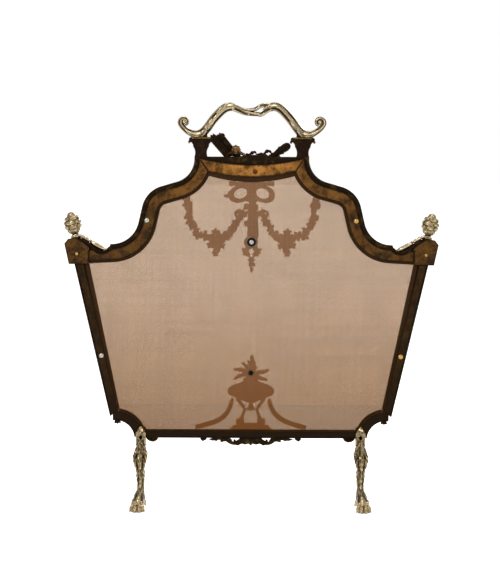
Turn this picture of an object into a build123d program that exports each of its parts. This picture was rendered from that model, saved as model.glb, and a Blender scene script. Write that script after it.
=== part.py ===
from build123d import *
import os
from math import asin, atan, cos, degrees, pi, radians, sin, sqrt, tan

# Brass fire screen in the Louis XVI taste: a gauze panel held between a cast front frame and flat
# back strips, with corner blocks and pine-cone finials, a carrying handle on two pedestals, a
# garland and a brazier on the gauze, and four cast legs with claw feet.
#
# Frame: +X to the right of someone facing the ornamented front, -Y towards that person, +Z up.
# The origin is on the floor, below the middle of the gauze. All sizes are in millimetres.
# "depth" is a distance in front of the middle of the gauze, and a negative depth is behind it.

# ---- driving sizes ------------------------------------------------------------------------------
screen_height = 740.0        # floor to the top of the handle
screen_width = 677.0         # over the corner blocks, at their shoulders
foot_reach = 72.0            # middle of the gauze to the claw tips, each way

gauze_thickness = 0.8
gauze_cover = 11.0           # how far the gauze runs in behind the sight edge

frame_width = 33.0           # front moulding of the crest and shoulders, edge to edge
frame_depth = 13.0           # front moulding, gauze to highest bead
bead_width = 9.0             # outer bead of the crest and shoulders
slim_bead_width = 5.0        # outer bead of the sides, corners and bottom rail
sight_bead_width = 6.0       # inner bead, beside the gauze
lip_width = 2.0              # flat lip inside the inner bead
side_width_top = 27.4        # side rail where it meets the block
side_width_foot = 21.0       # side rail where it meets the corner
bottom_width = 16.0          # bottom rail, top to underside
web_depth = 5.0              # moulding in the hollow between its beads

strip_width = 19.0           # back strips of the crest and shoulders
side_strip_width = 13.5      # back strips of the sides and corners
bottom_strip_width = 10.0    # back strip of the bottom rail
strip_thickness = 4.0
strip_inset = 9.0            # outer edge of the frame to the strip, crest and shoulders
side_strip_inset = 3.2       # the same on the sides, corners and bottom rail

crest_drop = 99.0            # top of the handle to the top of the crest rail
crest_sag = 11.0             # how far the sight edge of the crest dips at its middle
pedestal_spacing = 184.0     # middle to middle
pedestal_width = 23.5
pedestal_depth = 17.0
pedestal_height = 18.0       # shaft below the cap
cap_height = 17.0
cap_overhang = 10.0

neck_drop = 4.0              # straight below the pedestal
neck_radius = 43.5
neck_turn = 74.0
shoulder_slope_run = 29.5    # straight between the neck and the shoulder
shoulder_radius = 49.0
shoulder_turn = 61.0
shoulder_fall = 31.0         # straight down the outside of the shoulder
shelf_radius = 50.0
shelf_turn = 74.0

block_width = 36.0
block_height = 37.0          # underside to shoulders
block_depth = 20.0
block_peak = 11.0            # rise of the clipped top above the shoulders
block_lean = 12.5            # degrees, outwards
plate_thickness = 5.0
finial_height = 43.5
finial_radius = 15.5
finial_neck_radius = 7.5
stud_radius = 3.0
stud_length = 14.0

side_lean = 13.3             # degrees, outer edge of the side rails
rail_underside = 131.0       # floor to the underside of the bottom rail
corner_radius = 34.5         # hollow corner, outer edge
corner_width = 22.0          # hollow corner, edge to edge
corner_rise = 38.5           # bottom rail underside to the outer end of the side rail
corner_step = 10.0           # outer end of the side rail to the centre of the hollow

leg_inset = 46.0             # centre of the hollow corner to the leg
leg_head_width = 18.5
leg_head_point = 20.0        # rise of the head's pointed top above its screw
leg_head_foot = 16.0         # the same below it
leg_head_thickness = 5.0
knee_width = 24.5
shank_width = 13.0
claw_width = 29.0
claw_splay = 5.5             # sideways offset of the claw from the leg's head

handle_thickness = 13.5
scroll_thickness = 8.0

relief = 4.5                 # thickness of the castings on the gauze
screw_radius = 1.8
screw_clearance = 0.1
screw_head_radius = 4.0
screw_head_height = 2.0
screw_reach = 4.0            # shank inside the front casting

# ---- places worked out from the driving sizes ---------------------------------------------------
gauze_face = gauze_thickness / 2
frame_front = gauze_face + frame_depth
strip_back = gauze_face + strip_thickness
plate_back = gauze_face + plate_thickness
crest_z = screen_height - crest_drop
pedestal_x = pedestal_spacing / 2
neck_x = pedestal_x + pedestal_width / 2
block_outer_x = screen_width / 2


def face_plane(depth):
    """A plane parallel to the gauze; extruding from it goes towards the front."""
    return Plane.XZ.offset(depth)


def step_right(heading):
    """The unit step to the right of a heading in degrees, in the plane of the gauze."""
    return sin(radians(heading)), -cos(radians(heading))


def follow(start, heading, moves, inset=0.0, draw=True):
    """Run straights and arcs end to end, drawing them inset to the right of the reference line.

    A move is ("straight", length), ("left", radius, turn) or ("right", radius, turn).
    Returns the reference line's end point and heading.
    """
    x, z = start
    for kind, size, *turn in moves:
        across = step_right(heading)
        if kind == "straight":
            end = (x + size * cos(radians(heading)), z + size * sin(radians(heading)))
            if draw:
                Line((x + inset * across[0], z + inset * across[1]),
                     (end[0] + inset * across[0], end[1] + inset * across[1]))
        else:
            sense = 1 if kind == "left" else -1
            centre = (x - sense * size * across[0], z - sense * size * across[1])
            if draw:
                CenterArc(centre, size + sense * inset, heading - sense * 90, sense * turn[0])
            heading += sense * turn[0]
            across = step_right(heading)
            end = (centre[0] + sense * size * across[0], centre[1] + sense * size * across[1])
        x, z = end
    return (x, z), heading


# The shoulder line: down from the pedestal, out over the shoulder, down again and out to the block.
shoulder_start = (neck_x, crest_z)
shoulder_bends = [
    ("straight", neck_drop),
    ("left", neck_radius, neck_turn),
    ("straight", shoulder_slope_run),
    ("right", shoulder_radius, shoulder_turn),
    ("straight", shoulder_fall),
    ("left", shelf_radius, shelf_turn),
]
shelf_start, shelf_heading = follow(shoulder_start, -90, shoulder_bends, draw=False)
block_outer_foot_x = block_outer_x - block_height * tan(radians(block_lean))
block_inner_x = block_outer_foot_x - block_width
shelf_run = (block_inner_x - shelf_start[0]) / cos(radians(shelf_heading))
shoulder_moves = shoulder_bends + [("straight", shelf_run)]
shelf_end, _ = follow(shoulder_start, -90, shoulder_moves, draw=False)
block_z = shelf_end[1] - frame_width - 1.0          # underside of the block

# The side rail leans in from under the block to the hollow corner.
side_top_x = block_outer_foot_x - 10.0
corner_top_z = rail_underside + corner_rise
side_foot_x = side_top_x - (block_z - corner_top_z) * tan(radians(side_lean))
sight_top_x = side_top_x - side_width_top
corner_x = side_foot_x - corner_step
corner_z = rail_underside - 3.0
sight_radius = corner_radius + corner_width
rail_top = rail_underside + bottom_width
sight_foot_x = side_foot_x - 17.7
sight_foot_z = corner_z + sqrt(sight_radius**2 - (corner_x - sight_foot_x) ** 2)
rail_end_x = corner_x - sqrt(sight_radius**2 - (rail_top - corner_z) ** 2)
rail_foot_x = corner_x - sqrt(corner_radius**2 - (rail_underside - corner_z) ** 2)
leg_x = corner_x - leg_inset
leg_screw_z = rail_underside + 2.0

# ---- shared outlines ----------------------------------------------------------------------------
neck_centre = (neck_x + neck_radius, crest_z - neck_drop)
side_slope = 1 / cos(radians(side_lean))            # horizontal breadth of a sloping band
joint_reach = 25.0                                  # how far the trimming outlines overrun
crest_sight_z = crest_z - 35.0                      # sight edge at the ends of the crest
crest_strip_foot_z = crest_sight_z + 9.0
crest_strip_head_z = crest_z - 3.0
os.makedirs("parts", exist_ok=True)


def on_circle(centre, radius, z, side=-1):
    """The point of a circle at height z, on its left (-1) or right (+1)."""
    return centre[0] + side * sqrt(radius**2 - (z - centre[1]) ** 2), z


def turned_facets(base, sides, stations):
    """Stack tapered prisms of this many sides on a plane, through (height, radius) stations."""
    for (low, low_radius), (high, high_radius) in zip(stations, stations[1:]):
        shrink = abs(low_radius - high_radius) * cos(pi / sides)
        with BuildPart(mode=Mode.PRIVATE) as prism:
            with BuildSketch():
                RegularPolygon(max(low_radius, high_radius), sides)
            extrude(amount=high - low, taper=degrees(atan(shrink / (high - low))))
        solid = prism.part
        if high_radius > low_radius:
            solid = Pos(0, 0, high - low) * mirror(solid, about=Plane.XY, mode=Mode.PRIVATE)
        add(base.offset(low) * solid)


def oval(long_radius, short_radius, rotation=0, mode=Mode.ADD):
    """An oval of sixteen straight sides."""
    Polygon(*[(long_radius * cos(pi * step / 8), short_radius * sin(pi * step / 8)) for step in range(16)],
            align=None, rotation=rotation, mode=mode)


def save(node, solid):
    """Label a finished piece and write its STEP file."""
    solid.label = node
    export_step(solid, f"parts/{node}.step")


def save_pair(name, right):
    """Write a right-hand piece and its mirror image as two nodes."""
    save(f"{name}_right", right)
    save(f"{name}_left", mirror(right, about=Plane.YZ))


def moulding_section(outer, inward, width, bead):
    """The front moulding's section: bevelled outer bead, hollow, inner bead and lip.

    Local x runs across the moulding from its outer edge and local y is minus the depth.
    """
    bevel = bead * 0.3
    lip_start = width - lip_width
    sight_start = lip_start - sight_bead_width
    sight_bevel = sight_bead_width * 0.3
    sight_top = web_depth + sight_bead_width / 2
    outline = (
        (0, gauze_face), (0, frame_front - bevel), (bevel, frame_front),
        (bead - bevel, frame_front), (bead, web_depth + 1.2), (sight_start, web_depth),
        (sight_start + sight_bevel, sight_top), (lip_start - sight_bevel, sight_top),
        (lip_start, web_depth - 1), (width, web_depth - 1), (width, gauze_face),
    )
    with BuildLine() as edges:
        Polyline(*[(outer + inward * inset, -depth) for inset, depth in outline], close=True)
    make_face(edges.edges())


def shoulder_band(inner, outer, moves):
    """A face between two insets of the shoulder line."""
    end, heading = follow(shoulder_start, -90, moves, draw=False)
    across = step_right(heading)
    with BuildLine() as outline:
        follow(shoulder_start, -90, moves, outer)
        follow(shoulder_start, -90, moves, inner)
        Line((neck_x - outer, crest_z), (neck_x - inner, crest_z))
        Line((end[0] + outer * across[0], end[1] + outer * across[1]),
             (end[0] + inner * across[0], end[1] + inner * across[1]))
    make_face(outline.edges())


def below_side_mitre(mode):
    """The region below the mitre between the side rail and the hollow corner."""
    run = (side_foot_x - sight_foot_x, corner_top_z - sight_foot_z)
    out = (side_foot_x + run[0], corner_top_z + run[1])
    inside = (sight_foot_x - 4 * run[0], sight_foot_z - 4 * run[1])
    with BuildLine() as outline:
        Polyline(out, inside, (inside[0], 0), (out[0], 0), close=True)
    make_face(outline.edges(), mode=mode)


def inside_rail_joint(mode):
    """The region on the bottom rail's side of its joint with the hollow corner."""
    run = (rail_foot_x - rail_end_x, rail_underside - rail_top)
    head = (rail_end_x - run[0], rail_top - run[1])
    foot = (rail_foot_x + run[0], rail_underside + run[1])
    with BuildLine() as outline:
        Polyline(head, foot, (-joint_reach, foot[1]), (-joint_reach, head[1]), close=True)
    make_face(outline.edges(), mode=mode)


def drill(points, back, front, radius=screw_radius + screw_clearance):
    """Round holes through the piece being built, between two depths, at (x, z) points."""
    with BuildSketch(face_plane(back)) as holes:
        with Locations(*points):
            Circle(radius)
    extrude(holes.sketch, amount=front - back, mode=Mode.SUBTRACT)


def mirrored_point(point):
    """The same (x, z) point on the other side of the middle."""
    return -point[0], point[1]


# ---- screw places -------------------------------------------------------------------------------
fall_start, fall_heading = follow(shoulder_start, -90, shoulder_bends[:4], draw=False)
fall_spot, _ = follow(fall_start, fall_heading, [("straight", 23.0)], draw=False)
fall_across = step_right(fall_heading)
shoulder_screw = (fall_spot[0] + 14.0 * fall_across[0], fall_spot[1] + 14.0 * fall_across[1])
side_screw_z = rail_underside + 149.0
side_screw_inset = (side_strip_inset + side_strip_width / 2) * side_slope
side_screw = (side_top_x - (block_z - side_screw_z) * tan(radians(side_lean)) - side_screw_inset,
              side_screw_z)
crest_screw = (-6.0, crest_strip_foot_z - crest_sag + 10.0)
block_screw = (block_inner_x + block_width * 0.6, block_z + block_height / 2)
leg_screw = (leg_x, leg_screw_z)
garland_screw = (0.0, crest_z - 154.5)
brazier_screw = (0.0, rail_top + 102.5)
hole_end = gauze_face + screw_reach

# ---- gauze --------------------------------------------------------------------------------------
with BuildPart() as gauze_panel:
    gauze_inset = frame_width - gauze_cover - lip_width
    gauze_neck_radius = neck_radius + gauze_inset
    gauze_top_z = (crest_strip_foot_z + crest_strip_head_z) / 2 - crest_sag / 2
    gauze_neck = on_circle(neck_centre, gauze_neck_radius, gauze_top_z)
    cut_turn = degrees(asin((neck_centre[1] - gauze_top_z) / gauze_neck_radius))
    gauze_run = [("left", neck_radius, neck_turn - cut_turn)] + shoulder_moves[2:]
    gauze_start = (neck_centre[0] - neck_radius * cos(radians(cut_turn)),
                   neck_centre[1] - neck_radius * sin(radians(cut_turn)))
    gauze_shelf, last_heading = follow(gauze_start, cut_turn - 90, gauze_run, draw=False)
    gauze_shelf_end = (gauze_shelf[0] + gauze_inset * step_right(last_heading)[0],
                       gauze_shelf[1] + gauze_inset * step_right(last_heading)[1])
    gauze_side_top = (sight_top_x + gauze_cover, gauze_shelf_end[1])
    gauze_corner_radius = sight_radius - 8.0
    gauze_foot_z = rail_top - 7.0
    gauze_foot = on_circle((corner_x, corner_z), gauze_corner_radius, gauze_foot_z)
    foot_angle = 180 - degrees(asin((gauze_foot_z - corner_z) / gauze_corner_radius))
    with BuildSketch(face_plane(-gauze_face)):
        with BuildLine():
            Line((0, gauze_top_z), gauze_neck)
            follow(gauze_start, cut_turn - 90, gauze_run, gauze_inset)
            Line(gauze_shelf_end, gauze_side_top)
            Line(gauze_side_top, (corner_x, corner_z + gauze_corner_radius))
            CenterArc((corner_x, corner_z), gauze_corner_radius, 90, foot_angle - 90)
            Polyline(gauze_foot, (0, gauze_foot_z), (0, gauze_top_z))
        make_face()
        mirror(about=Plane.YZ)
    extrude(amount=gauze_thickness)
    near_screws = [shoulder_screw, mirrored_point(shoulder_screw)]
    drill([crest_screw, garland_screw, brazier_screw] + near_screws, -gauze_face, gauze_face)
save("gauze_panel", gauze_panel.part)

# ---- front moulding -----------------------------------------------------------------------------
with BuildPart() as front_crest:
    crest_end = on_circle(neck_centre, neck_radius + frame_width, crest_sight_z)
    with BuildSketch(face_plane(gauze_face)):
        with BuildLine():
            Polyline((-crest_end[0], crest_sight_z), (-crest_end[0], crest_z),
                     (crest_end[0], crest_z), crest_end)
            ThreePointArc(crest_end, (0, crest_sight_z - crest_sag), (-crest_end[0], crest_sight_z))
        make_face()
        with Locations(neck_centre, (-neck_centre[0], neck_centre[1])):
            Circle(neck_radius + frame_width, mode=Mode.SUBTRACT)
        with Locations((pedestal_x, crest_z), (-pedestal_x, crest_z)):
            Rectangle(2 * (pedestal_x - neck_x + frame_width), 2 * neck_drop, mode=Mode.SUBTRACT)
    extrude(amount=web_depth)
    top_band = 8.0
    with BuildSketch(face_plane(gauze_face)):
        with Locations((0, crest_z - top_band / 2)):
            Rectangle(2 * (neck_x - frame_width), top_band)
        with Locations(neck_centre, (-neck_centre[0], neck_centre[1])):
            Circle(neck_radius + frame_width, mode=Mode.SUBTRACT)
    extrude(amount=frame_depth)
    fillet(front_crest.faces().sort_by(Axis.Y)[0].edges().filter_by(Axis.X), 3.5)
    with BuildSketch(face_plane(gauze_face)):
        with BuildLine():
            ThreePointArc((crest_end[0], crest_sight_z + lip_width),
                          (0, crest_sight_z - crest_sag + lip_width),
                          (-crest_end[0], crest_sight_z + lip_width))
            ThreePointArc((crest_end[0], crest_sight_z + lip_width + sight_bead_width),
                          (0, crest_sight_z - crest_sag + lip_width + sight_bead_width),
                          (-crest_end[0], crest_sight_z + lip_width + sight_bead_width))
            Line((crest_end[0], crest_sight_z + lip_width),
                 (crest_end[0], crest_sight_z + lip_width + sight_bead_width))
            Line((-crest_end[0], crest_sight_z + lip_width),
                 (-crest_end[0], crest_sight_z + lip_width + sight_bead_width))
        make_face()
        with Locations(neck_centre, (-neck_centre[0], neck_centre[1])):
            Circle(neck_radius + frame_width, mode=Mode.SUBTRACT)
    extrude(amount=web_depth + sight_bead_width / 2)
    drill([crest_screw], gauze_face, hole_end)
save("front_crest", front_crest.part)

with BuildPart() as front_shoulder:
    with BuildLine(Plane.XZ) as shoulder_line:
        follow(shoulder_start, -90, shoulder_bends + [("straight", shelf_run + lip_width)])
    with BuildSketch(Plane.XY.offset(crest_z)):
        moulding_section(neck_x, -1, frame_width, bead_width)
    sweep(path=shoulder_line.wire())
    split(bisect_by=Plane.YZ.offset(block_inner_x), keep=Keep.BOTTOM)
    # The outer bead stops in a leafy knuckle, and the rail dips beside the block.
    dip_z = block_z + 23.5
    dip = (block_inner_x - 24.0, dip_z + 15.0)
    with BuildSketch(face_plane(0)):
        with Locations(dip):
            Circle(15.0)
        with BuildLine():
            Polyline((dip[0], dip_z), (block_inner_x + 5, dip_z + 8),
                     (block_inner_x + 5, dip_z + joint_reach), (dip[0], dip_z + joint_reach),
                     close=True)
        make_face()
    extrude(amount=frame_front + 5, mode=Mode.SUBTRACT)
    drill([shoulder_screw], gauze_face, hole_end)
save_pair("front_shoulder", front_shoulder.part)

with BuildPart() as front_side:
    for z in (block_z, corner_top_z - joint_reach):
        share = (z - sight_foot_z) / (block_z - sight_foot_z)
        width = side_width_foot + (side_width_top - side_width_foot) * share
        with BuildSketch(Plane.XY.offset(z)):
            outer_x = side_top_x - (block_z - z) * tan(radians(side_lean))
            moulding_section(outer_x, -1, width, slim_bead_width)
    loft(ruled=True)
    with BuildSketch(face_plane(0)):
        below_side_mitre(Mode.ADD)
    extrude(amount=frame_front + 5, mode=Mode.SUBTRACT)
    drill([side_screw], gauze_face, hole_end)
save_pair("front_side", front_side.part)

leg_pad_low_z = leg_screw_z - leg_head_foot
leg_pad_high_z = leg_screw_z + leg_head_point - 2


def leg_pad():
    """The pad between the two legs' heads; below the strips it comes through to their back."""
    with BuildSketch(face_plane(gauze_face)) as front_pad:
        with Locations((leg_x, (leg_pad_low_z + leg_pad_high_z) / 2)):
            Rectangle(leg_head_width, leg_pad_high_z - leg_pad_low_z)
    extrude(front_pad.sketch, amount=frame_depth)
    back_pad_high_z = rail_underside + side_strip_inset
    with BuildSketch(face_plane(-strip_back)) as back_pad:
        with Locations((leg_x, (leg_pad_low_z + back_pad_high_z) / 2)):
            Rectangle(leg_head_width, back_pad_high_z - leg_pad_low_z)
    extrude(back_pad.sketch, amount=strip_back + gauze_face)


with BuildPart() as front_corner:
    with BuildSketch(Plane.XY.offset(corner_z)):
        moulding_section(corner_x + corner_radius, 1, corner_width, slim_bead_width)
    revolve(axis=Axis((corner_x, 0, corner_z), (0, -1, 0)), revolution_arc=180)
    with BuildSketch(face_plane(0)):
        below_side_mitre(Mode.ADD)
        inside_rail_joint(Mode.SUBTRACT)
        with Locations((corner_x + joint_reach + corner_step / 2, corner_z)):
            Rectangle(2 * joint_reach, 4 * joint_reach, mode=Mode.SUBTRACT)
    extrude(amount=frame_front + 5, mode=Mode.INTERSECT)
    leg_pad()
    drill([leg_screw], -strip_back, screw_reach - strip_back)
    drill([leg_screw], frame_front - screw_reach, frame_front)
save_pair("front_corner", front_corner.part)

with BuildPart() as front_bottom:
    with BuildSketch(Plane(origin=(0, 0, 0), x_dir=(0, 0, 1), z_dir=(-1, 0, 0))):
        moulding_section(rail_underside, 1, bottom_width, slim_bead_width)
    extrude(amount=leg_x - leg_head_width / 2, both=True)
save("front_bottom", front_bottom.part)

# ---- back strips --------------------------------------------------------------------------------
strip_inner = strip_inset + strip_width
strip_mitre_foot = on_circle(neck_centre, neck_radius + strip_inner, crest_strip_foot_z)
strip_mitre_head = (neck_x - strip_inset, crest_strip_head_z)


with BuildPart() as back_strip_crest:
    with BuildSketch(face_plane(-strip_back)):
        with BuildLine():
            ThreePointArc(strip_mitre_foot, (0, crest_strip_foot_z - crest_sag + 1),
                          (-strip_mitre_foot[0], strip_mitre_foot[1]))
            ThreePointArc(strip_mitre_head, (0, crest_strip_head_z - crest_sag - 1),
                          (-strip_mitre_head[0], strip_mitre_head[1]))
            Line(strip_mitre_foot, strip_mitre_head)
            Line((-strip_mitre_foot[0], strip_mitre_foot[1]),
                 (-strip_mitre_head[0], strip_mitre_head[1]))
        make_face()
    extrude(amount=strip_thickness)
    chamfer(back_strip_crest.faces().sort_by(Axis.Y)[-1].edges().sort_by(Axis.Z)[0], 0.8)
    drill([crest_screw], -strip_back, -gauze_face)
save("back_strip_crest", back_strip_crest.part)

with BuildPart() as back_strip_shoulder:
    with BuildSketch(face_plane(-strip_back)):
        shoulder_band(strip_inset, strip_inner,
                      shoulder_bends + [("straight", shelf_run + lip_width)])
        with BuildLine():
            mitre_run = (strip_mitre_head[0] - strip_mitre_foot[0],
                         strip_mitre_head[1] - strip_mitre_foot[1])
            low = (strip_mitre_foot[0] - mitre_run[0], strip_mitre_foot[1] - mitre_run[1])
            high = (strip_mitre_head[0] + mitre_run[0], strip_mitre_head[1] + mitre_run[1])
            Polyline(low, high, (0, high[1]), (0, low[1]), close=True)
        make_face(mode=Mode.SUBTRACT)
        with Locations((block_inner_x + joint_reach, block_z)):
            Rectangle(2 * joint_reach, 4 * joint_reach, mode=Mode.SUBTRACT)
        with Locations(dip):
            Circle(20.0, mode=Mode.SUBTRACT)
    extrude(amount=strip_thickness)
    drill([shoulder_screw], -strip_back, -gauze_face)
save_pair("back_strip_shoulder", back_strip_shoulder.part)

with BuildPart() as back_strip_side:
    with BuildSketch(face_plane(-strip_back)):
        near = side_strip_inset * side_slope
        far = (side_strip_inset + side_strip_width) * side_slope
        with BuildLine():
            Polyline((side_top_x - near, block_z), (side_top_x - far, block_z),
                     (side_foot_x - far - 10 * tan(radians(side_lean)), corner_top_z - 10),
                     (side_foot_x - near - 10 * tan(radians(side_lean)), corner_top_z - 10),
                     close=True)
        make_face()
        below_side_mitre(Mode.SUBTRACT)
    extrude(amount=strip_thickness)
    chamfer(back_strip_side.faces().sort_by(Axis.Y)[-1].edges().sort_by(Axis.X)[0], 0.8)
    drill([side_screw], -strip_back, -gauze_face)
save_pair("back_strip_side", back_strip_side.part)

with BuildPart() as back_strip_corner:
    with BuildSketch(face_plane(-strip_back)):
        with Locations((corner_x, corner_z)):
            Circle(corner_radius + side_strip_inset + side_strip_width)
            Circle(corner_radius + side_strip_inset, mode=Mode.SUBTRACT)
        with BuildLine():
            Polyline((corner_x - 2 * sight_radius, rail_underside + side_strip_inset),
                     (corner_x + corner_step / 2, rail_underside + side_strip_inset),
                     (corner_x + corner_step / 2, corner_z + 2 * sight_radius),
                     (corner_x - 2 * sight_radius, corner_z + 2 * sight_radius), close=True)
        make_face(mode=Mode.INTERSECT)
        inside_rail_joint(Mode.SUBTRACT)
        below_side_mitre(Mode.INTERSECT)
    extrude(amount=strip_thickness)
    drill([leg_screw], -strip_back, -gauze_face)
save_pair("back_strip_corner", back_strip_corner.part)

with BuildPart() as back_strip_bottom:
    with BuildSketch(face_plane(-strip_back)):
        with Locations((0, rail_underside + side_strip_inset + bottom_strip_width / 2)):
            Rectangle(2 * rail_foot_x, bottom_strip_width)
    extrude(amount=strip_thickness)
    with BuildSketch(face_plane(-strip_back)) as kept:
        inside_rail_joint(Mode.ADD)
        mirror(about=Plane.YZ)
    extrude(kept.sketch, amount=strip_thickness, mode=Mode.INTERSECT)
    drill([leg_screw, mirrored_point(leg_screw)], -strip_back, -gauze_face)
save("back_strip_bottom", back_strip_bottom.part)

# ---- corner blocks, plates and finials ----------------------------------------------------------
block_frame = Plane(origin=((block_inner_x + block_outer_foot_x) / 2, 0, block_z),
                    x_dir=(1, 0, 0), z_dir=(0, -1, 0))
lean_shift = block_height * tan(radians(block_lean))


def block_outline(inset):
    """The block's outline: upright inside, leaning outside, with a clipped and peaked top."""
    half = block_width / 2 - inset
    top = block_height - inset
    peak_x = block_width / 6
    with BuildLine() as outline:
        Polyline((-half, inset), (half, inset), (half + lean_shift, top),
                 (half + lean_shift * 0.2, top + block_peak * 0.75 - inset),
                 (peak_x, top + block_peak),
                 (-half + 8, top + 1), (-half, top - block_peak / 2), close=True)
    make_face(outline.edges())


def block_plane(depth):
    """The block's own plane at a depth: its origin is the middle of the block's underside."""
    return block_frame.offset(depth)


finial_axis = Vector(sin(radians(block_lean)), 0, cos(radians(block_lean)))
block_middle_x = (block_inner_x + block_outer_foot_x) / 2
finial_depth = block_depth / 2
finial_seat = Vector(block_middle_x + block_width / 6, -finial_depth,
                     block_z + block_height + block_peak)
finial_plane = Plane(origin=finial_seat, x_dir=(cos(radians(block_lean)), 0, -sin(radians(block_lean))),
                     z_dir=finial_axis)

with BuildPart() as corner_block:
    with BuildSketch(block_plane(-gauze_face)):
        block_outline(0.6)
    extrude(amount=block_depth - 4)
    with BuildSketch(block_plane(block_depth - 4 - gauze_face)):
        block_outline(4.0)
    extrude(amount=4)
    # A turned seat for the finial and its threaded hole.
    with BuildSketch(finial_plane.offset(-6)):
        RegularPolygon(finial_neck_radius + 1.5, 16)
    extrude(amount=6)
    with BuildSketch(finial_plane):
        Circle(stud_radius)
    extrude(amount=-stud_length, mode=Mode.SUBTRACT)
    add(gauze_panel.part, mode=Mode.SUBTRACT)
    drill([block_screw], -gauze_face, screw_reach)
save_pair("corner_block", corner_block.part)

with BuildPart() as block_rosette:
    rosette_centre = (0.5 * lean_shift, block_height / 2)
    petals = [(radius * cos(radians(22.5 * turn)) + rosette_centre[0],
               radius * sin(radians(22.5 * turn)) + rosette_centre[1])
              for turn, radius in enumerate([10.5, 7.5] * 8)]
    with BuildSketch(block_plane(block_depth - gauze_face)):
        with BuildLine():
            Polyline(*petals, close=True)
        make_face()
    extrude(amount=2.5, taper=12)
    with BuildSketch(block_plane(block_depth - gauze_face + 2.5)):
        with Locations(rosette_centre):
            RegularPolygon(3.4, 8)
    extrude(amount=1.5, taper=20)
save_pair("block_rosette", block_rosette.part)

with BuildPart() as block_plate:
    with BuildSketch(block_plane(-plate_back)):
        block_outline(0)
    extrude(amount=plate_thickness)
    chamfer(block_plate.faces().sort_by(Axis.Y)[-1].edges().sort_by(Axis.X)[-1], 0.8)
    drill([block_screw], -plate_back, -gauze_face)
save_pair("block_plate", block_plate.part)

# Stations up a finial: height above its seat and radius. The cone has sixteen rows of scales.
finial_stations = [
    (0.0, finial_neck_radius), (2.0, finial_neck_radius), (4.0, finial_neck_radius - 2.3),
    (7.5, finial_neck_radius - 1.5), (9.0, finial_radius * 0.68), (14.0, finial_radius * 0.95),
    (20.0, finial_radius), (27.0, finial_radius * 0.93), (34.0, finial_radius * 0.70),
    (39.5, finial_radius * 0.42), (finial_height, 1.2),
]
with BuildPart() as finial:
    turned_facets(finial_plane, 16, finial_stations)
    with BuildSketch(finial_plane):
        Circle(stud_radius)
    extrude(amount=-stud_length)
save_pair("finial", finial.part)

with BuildPart() as block_leaf:
    leaf_tip = (dip[0] - 3.0, dip_z + 1.5)
    leaf_head = (finial_seat.X - 3.0, finial_seat.Z - 1.0)
    with BuildSketch(face_plane(gauze_face)):
        with BuildLine():
            Spline(leaf_tip, (dip[0] + 12, dip_z + 8.0), (block_inner_x + 4, dip_z + 16.0), leaf_head)
            Polyline(leaf_head, (leaf_head[0], dip_z - 4), (leaf_tip[0], dip_z - 4), leaf_tip)
        make_face()
    extrude(amount=frame_depth - 1)
    add(front_shoulder.part, mode=Mode.SUBTRACT)
    add(corner_block.part, mode=Mode.SUBTRACT)
    add(finial.part, mode=Mode.SUBTRACT)
    drill([block_screw], gauze_face, frame_front, radius=screw_radius + 1)
save_pair("block_leaf", block_leaf.part)

# ---- pedestals and handle -----------------------------------------------------------------------
top_depth = gauze_face + pedestal_depth / 2         # depth of the middle of the pieces on the crest
cap_foot_z = crest_z + pedestal_height
cap_top_z = cap_foot_z + cap_height
saddle_z = cap_top_z + 8.0

# The handle's line, from its middle outwards: hump, slope at 45 degrees, saddle and scrolled end.
# The hump's top and the saddle are fixed, and the slope and the first straight reach between them.
handle_rise = 17.0           # heading of the line at its middle, degrees
handle_slope = 45.0
hump_radius = 18.0
saddle_radius = 16.0
saddle_x = pedestal_x + 6.0
hump_line_z = screen_height - handle_thickness / 2
saddle_line_z = cap_top_z + 2.0 + handle_thickness / 2
slope_cos = cos(radians(handle_slope))
slope_sin = sin(radians(handle_slope))
slope_fall = (hump_line_z - saddle_line_z) - (hump_radius + saddle_radius) * (1 - slope_cos)
slope_advance = slope_fall / tan(radians(handle_slope))
hump_x = saddle_x - slope_advance - (hump_radius + saddle_radius) * slope_sin
first_run = hump_x / cos(radians(handle_rise)) - hump_radius * tan(radians(handle_rise))
handle_start = (0, hump_line_z - hump_radius * (1 - cos(radians(handle_rise)))
                - first_run * sin(radians(handle_rise)))
handle_arm = [
    ("straight", first_run),
    ("right", hump_radius, handle_rise + handle_slope),
    ("straight", slope_fall / slope_sin),
    ("left", saddle_radius, handle_slope),
]
handle_scroll = [
    ("left", saddle_radius, 35.0),
    ("straight", 11.0),
    ("left", 7.5, 200.0),
    ("left", 4.8, 100.0),
]
arm_end, arm_heading = follow(handle_start, handle_rise, handle_arm, draw=False)

taper_run = 10.0
scroll_start = (arm_end[0] + taper_run, arm_end[1])


def facet_line(moves, start, heading, count):
    """A run of straight pieces along a stretch of the handle's line."""
    with BuildLine(mode=Mode.PRIVATE) as smooth:
        follow(start, heading, moves)
    line = smooth.wire()
    with BuildLine(face_plane(top_depth)) as facets:
        Polyline(*[((line @ (index / count)).X, (line @ (index / count)).Y) for index in range(count + 1)])
    return facets.wire()


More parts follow.
